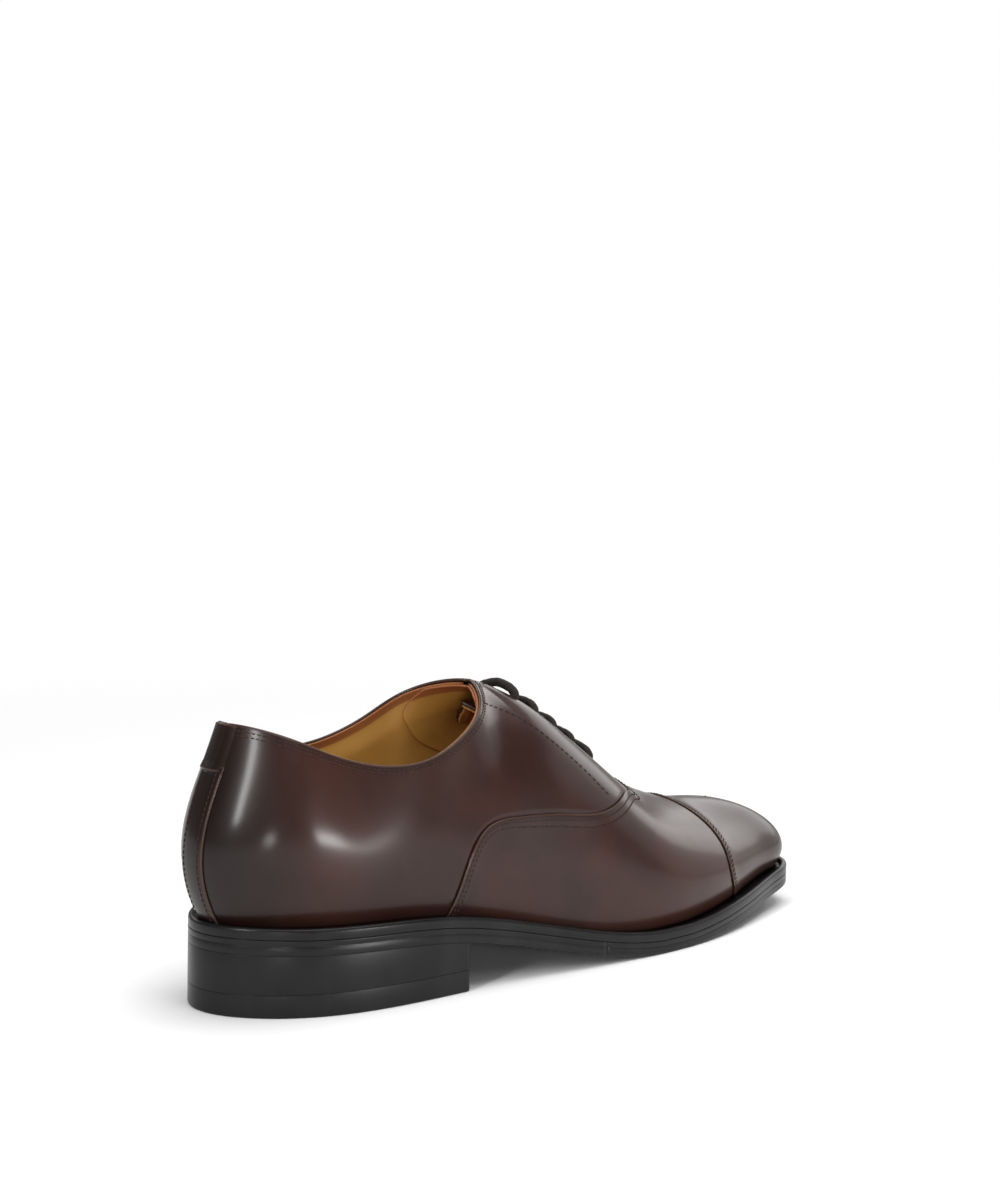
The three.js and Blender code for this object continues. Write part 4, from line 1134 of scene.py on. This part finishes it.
SPACING = 0.3
BRAID_LAY, BRAID_RELIEF = 4.4, 0.045


def braid(i, angle):
    """The relief of strands that cross over each other round the cord."""
    turn = 2 * math.pi * i * SPACING / BRAID_LAY
    one, other_way = np.cos(4 * (angle + turn / 4)), np.cos(4 * (angle - turn / 4))
    return 1 + BRAID_RELIEF * np.maximum(one, other_way)


lace_line = through(route, SPACING)
lace = cord_mesh("lace_cord", lace_line, np.full(len(lace_line), LACE_RADIUS), 20, braid)
cotton = Finish("lace_cotton", Roughness=0.8, Specular_IOR_Level=0.3, Sheen_Weight=0.06,
                Sheen_Roughness=0.4)
cotton.feed("Base Color", cotton.blend(cotton.noise(900, 2).held(0.3, 0.7), (0.010, 0.0065, 0.0055),
                                       (0.024, 0.015, 0.012)))
cotton.bump(cotton.noise(2500, 2), 0.00008, 0.6)
finish_piece(lace, "shoe", cotton, "lace_cotton", "lace")

# Each end is bound in a clear dark film, tapered at the tip.
AGLET, AGLET_RADIUS = 16.0, 1.15
aglet_film = Finish("aglet_film", Roughness=0.22, Coat_Weight=0.5)
aglet_film.feed("Base Color", aglet_film.blend(aglet_film.noise(300, 2).held(0.4, 0.6),
                                               (0.012, 0.009, 0.008), (0.02, 0.014, 0.012)))
lace_ends = {"lateral": (lace_line[0], lace_line[3]), "medial": (lace_line[-1], lace_line[-4])}
for name, (tip, before) in lace_ends.items():
    way = unit(tip - before)
    steps = np.linspace(0, 1, 30)[:, None]
    taper = AGLET_RADIUS * np.sqrt(np.clip(1 - ((steps[:, 0] - 0.93) / 0.07).clip(0, 1) ** 2, 0.05, 1))
    aglet = cord_mesh(f"aglet_{name}_tip", tip - way + way * (AGLET + 1) * steps, taper, 16)
    finish_piece(aglet, "shoe", aglet_film, "aglet_plastic", f"aglet_{name}")

# ---- Eyelets -------------------------------------------------------------------------------
# The holes are punched clean through the facing, and small dark brass rings are clenched
# on the inside, where they don't show from above.
HOLE_RADIUS, HOLE_SIDES = 2.1, 28
PUNCH_FROM, PUNCH_TO = 2.0, -3.2
turns = np.linspace(0, 2 * math.pi, HOLE_SIDES, endpoint=False)
for side, word in ((LAT, "lateral"), (MED, "medial")):
    work = bmesh.new()
    for row in range(5):
        point, normal, inward, down = eyelet_frame(side, row)
        spokes = [HOLE_RADIUS * (math.cos(a) * inward + math.sin(a) * down) for a in turns]
        over, beneath = ([work.verts.new(placed(point + normal * depth + spoke)) for spoke in spokes]
                         for depth in (PUNCH_FROM, PUNCH_TO))
        for k in range(HOLE_SIDES):
            after = (k + 1) % HOLE_SIDES
            work.faces.new((over[k], over[after], beneath[after], beneath[k]))
        work.faces.new(over[::-1])
        work.faces.new(beneath)
    bmesh.ops.recalc_face_normals(work, faces=work.faces)
    mesh = bpy.data.meshes.new("punch")
    work.to_mesh(mesh)
    work.free()
    punch = bpy.data.objects.new("punch", mesh)
    bpy.context.collection.objects.link(punch)
    punched = quarters[word].modifiers.new("punched", "BOOLEAN")
    punched.operation, punched.solver, punched.object = "DIFFERENCE", "EXACT", punch
    bpy.context.view_layer.update()
    evaluated = quarters[word].evaluated_get(bpy.context.evaluated_depsgraph_get())
    cut_mesh = bpy.data.meshes.new_from_object(evaluated)
    quarters[word].modifiers.remove(punched)
    quarters[word].data = cut_mesh
    bpy.data.objects.remove(punch)

brass = Finish("eyelet_brass", Metallic=1.0)
brass.feed("Base Color", brass.blend(brass.noise(500, 2).held(0.4, 0.7), (0.09, 0.06, 0.035),
                                     (0.16, 0.1, 0.05)))
brass.feed("Roughness", brass.noise(300, 2) * 0.2 + 0.3)


def refinish(finish, *beginnings):
    """Gives a finish to the CAD's own pieces whose names begin so, which keep their shape."""
    for name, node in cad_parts.items():
        if name.startswith(beginnings):
            for place in node.material_slots:
                place.material = finish.material


refinish(brass, "eyelet_lateral", "eyelet_medial")

# ---- Shank, nails, insole board, heel counter, toe puff and cork filler ---------------------
# What is shut up inside the shoe keeps the CAD's shape: a sprung steel shank and heel nails, an
# insole board and a heel counter of leather fibre, a canvas toe puff, and a bed of ground cork.
steel = Finish("shank_steel", Metallic=1.0)
steel.feed("Base Color", steel.blend(steel.noise(200, 3).held(0.3, 0.7), (0.3, 0.3, 0.31),
                                     (0.42, 0.42, 0.43)))
steel.feed("Roughness", steel.noise(400, 3) * 0.25 + 0.3)
board = Finish("insole_fibre", Roughness=0.9)
board.feed("Base Color", board.blend(board.noise(300, 4).held(0.3, 0.7), (0.3, 0.2, 0.12),
                                     (0.44, 0.32, 0.2)))
board.bump(board.noise(800, 3), 0.0001, 0.5)
corks = Finish("cork", Roughness=0.95)
grains = corks.node("ShaderNodeTexVoronoi", output=1, Vector=corks.place, Scale=450.0)
corks.feed("Base Color", corks.blend(grains, (0.25, 0.14, 0.07), (0.45, 0.28, 0.15)))
corks.bump(corks.noise(700, 3), 0.0002, 0.6)
refinish(steel, "shank", "heel_nail")
refinish(board, "insole_board", "heel_counter")
refinish(canvas, "toe_puff")
refinish(corks, "cork_filler")

# ---- Stitching -----------------------------------------------------------------------------
# Waxed thread in short, even lockstitches: two rows along the topline, the vamp's edge and the
# toe cap, one beside the lace slot, one fanning down the quarter, one inside each strip edge.


def seam_line(side, s, h, lift):
    """Points along a seam, a lift above the last's surface."""
    return skin(side, s, h) + skin_normal(side, s, h) * np.reshape(lift + 0 * s, (-1, 1))


def stitch_tree():
    """Geometry Nodes: one lockstitch at every pitch along each line."""
    tree = bpy.data.node_groups.new("lockstitch", "GeometryNodeTree")
    face = tree.interface
    face.new_socket("Geometry", in_out="INPUT", socket_type="NodeSocketGeometry")
    for name in ("Pitch", "Stitch Length", "Thread Radius"):
        face.new_socket(name, in_out="INPUT", socket_type="NodeSocketFloat")
    face.new_socket("Thread", in_out="INPUT", socket_type="NodeSocketMaterial")
    face.new_socket("Geometry", in_out="OUTPUT", socket_type="NodeSocketGeometry")
    add, link = tree.nodes.new, tree.links.new
    inputs, outputs = add("NodeGroupInput"), add("NodeGroupOutput")
    to_curve, resample = add("GeometryNodeMeshToCurve"), add("GeometryNodeResampleCurve")
    resample.mode = "LENGTH"
    tangent, turn = add("GeometryNodeInputTangent"), add("FunctionNodeAlignRotationToVector")
    turn.axis = "X"
    ball, size = add("GeometryNodeMeshUVSphere"), add("ShaderNodeCombineXYZ")
    ball.inputs["Segments"].default_value = 8
    ball.inputs["Rings"].default_value = 5
    ball.inputs["Radius"].default_value = 1.0
    half = add("ShaderNodeMath")
    half.operation = "MULTIPLY"
    half.inputs[1].default_value = 0.5
    place, real = add("GeometryNodeInstanceOnPoints"), add("GeometryNodeRealizeInstances")
    paint_it = add("GeometryNodeSetMaterial")
    link(inputs.outputs["Geometry"], to_curve.inputs["Mesh"])
    link(to_curve.outputs["Curve"], resample.inputs["Curve"])
    link(inputs.outputs["Pitch"], resample.inputs["Length"])
    link(resample.outputs["Curve"], place.inputs["Points"])
    link(ball.outputs["Mesh"], place.inputs["Instance"])
    link(tangent.outputs["Tangent"], turn.inputs["Vector"])
    link(turn.outputs["Rotation"], place.inputs["Rotation"])
    link(inputs.outputs["Stitch Length"], half.inputs[0])
    link(half.outputs[0], size.inputs["X"])
    link(inputs.outputs["Thread Radius"], size.inputs["Y"])
    link(inputs.outputs["Thread Radius"], size.inputs["Z"])
    link(size.outputs["Vector"], place.inputs["Scale"])
    link(place.outputs["Instances"], real.inputs["Geometry"])
    link(real.outputs["Geometry"], paint_it.inputs["Geometry"])
    link(inputs.outputs["Thread"], paint_it.inputs["Material"])
    link(paint_it.outputs["Geometry"], outputs.inputs["Geometry"])
    return tree


lockstitch = stitch_tree()


def stitched(name, lines, pitch, length, radius, finish, slot="upper_leather", body="shoe"):
    """A piece made of the stitches along some lines, all in mm: one mesh, with no modifier left."""
    points = np.concatenate(lines)
    edges, start = [], 0
    for line in lines:
        edges += [(start + k, start + k + 1) for k in range(len(line) - 1)]
        start += len(line)
    mesh = bpy.data.meshes.new(name)
    mesh.from_pydata([tuple(p) for p in placed(points)], edges, [])
    guide = bpy.data.objects.new(name, mesh)
    bpy.context.collection.objects.link(guide)
    modifier = guide.modifiers.new("stitches", "NODES")
    modifier.node_group = lockstitch
    values = {"Pitch": pitch * MM, "Stitch Length": length * MM, "Thread Radius": radius * MM,
              "Thread": finish.material}
    for item in lockstitch.interface.items_tree:
        if item.in_out == "INPUT" and item.name in values:
            modifier[item.identifier] = values[item.name]
    bpy.context.view_layer.update()
    evaluated = guide.evaluated_get(bpy.context.evaluated_depsgraph_get())
    made = bpy.data.meshes.new_from_object(evaluated)
    guide.modifiers.remove(modifier)
    guide.data = made
    made.shade_smooth()
    made.materials.clear()
    return finish_piece(guide, body, finish, slot)


thread = Finish("brown_thread", Roughness=0.75, Specular_IOR_Level=0.25)
thread.feed("Base Color", thread.blend(thread.noise(700, 2).held(0.3, 0.7), (0.022, 0.010, 0.007),
                                       (0.045, 0.021, 0.014)))
dark_thread = Finish("dark_thread", Roughness=0.6)
dark_thread.feed("Base Color", dark_thread.blend(dark_thread.noise(700, 2).held(0.3, 0.7),
                                                 (0.008, 0.005, 0.004), (0.016, 0.010, 0.008)))

LAID = 0.05
even = np.linspace(0, 1, 700)
topline_rows, facing_rows, edge_rows, vamp_rows, cap_rows, back_rows = [], [], [], [], [], []
facing_line = spline([0.94, 0.847, 0.749, 0.676, 0.616, 0.568, 0.523, 0.49][::-1],
                     [0.451, 0.465, 0.477, 0.486, 0.497, 0.512, 0.529, 0.5395][::-1])
for side in (LAT, MED):
    for away in (1.6, 3.2):
        s = mix(0.022, FACING_TOP + 0.001, even)
        topline_rows.append(seam_line(side, s, 1 - away / SECTION + 0 * s, LAID))
    s = mix(FACING_TOP + 0.006, FACING_END - 0.004, even)
    edge_rows.append(seam_line(side, s, down_from_ridge(side, s, FACING_GAP / 2 + 1.8), LAID))
    h = mix(0.975, 0.505, even)
    facing_rows.append(seam_line(side, facing_line(h), h, 0.04))
    for away in (-1.7, -3.5):
        s = mix(SEAM_START + 0.004, THROAT - 0.004, even)
        h = vamp_edge(s, away)
        kept = (h > 0.01) & (h < 0.99)
        vamp_rows.append(seam_line(side, s[kept], h[kept], raised(away) + LAID))
    for away in (1.3, 2.9):
        h = mix(0.01, 0.988, even)
        cap_rows.append(seam_line(side, cap_seam(h) + away / STATION, h, raised(away) + LAID))
    h = mix(0.03, TAB_FOOT - 0.02, even)
    back_rows.append(seam_line(side, half_around(STRIP_WIDTH - 3.2, h), h, STRIP_THICK + 0.04))
stitched("topline_stitches", topline_rows, 1.9, 1.5, 0.24, thread)
stitched("facing_edge_stitches", edge_rows, 1.9, 1.5, 0.24, thread)
stitched("facing_stitches", facing_rows, 2.6, 2.0, 0.3, dark_thread)
stitched("vamp_stitches", vamp_rows, 1.9, 1.5, 0.25, thread)
stitched("cap_stitches", cap_rows, 1.9, 1.5, 0.25, thread)
stitched("backstay_stitches", back_rows, 2.0, 1.6, 0.25, thread)
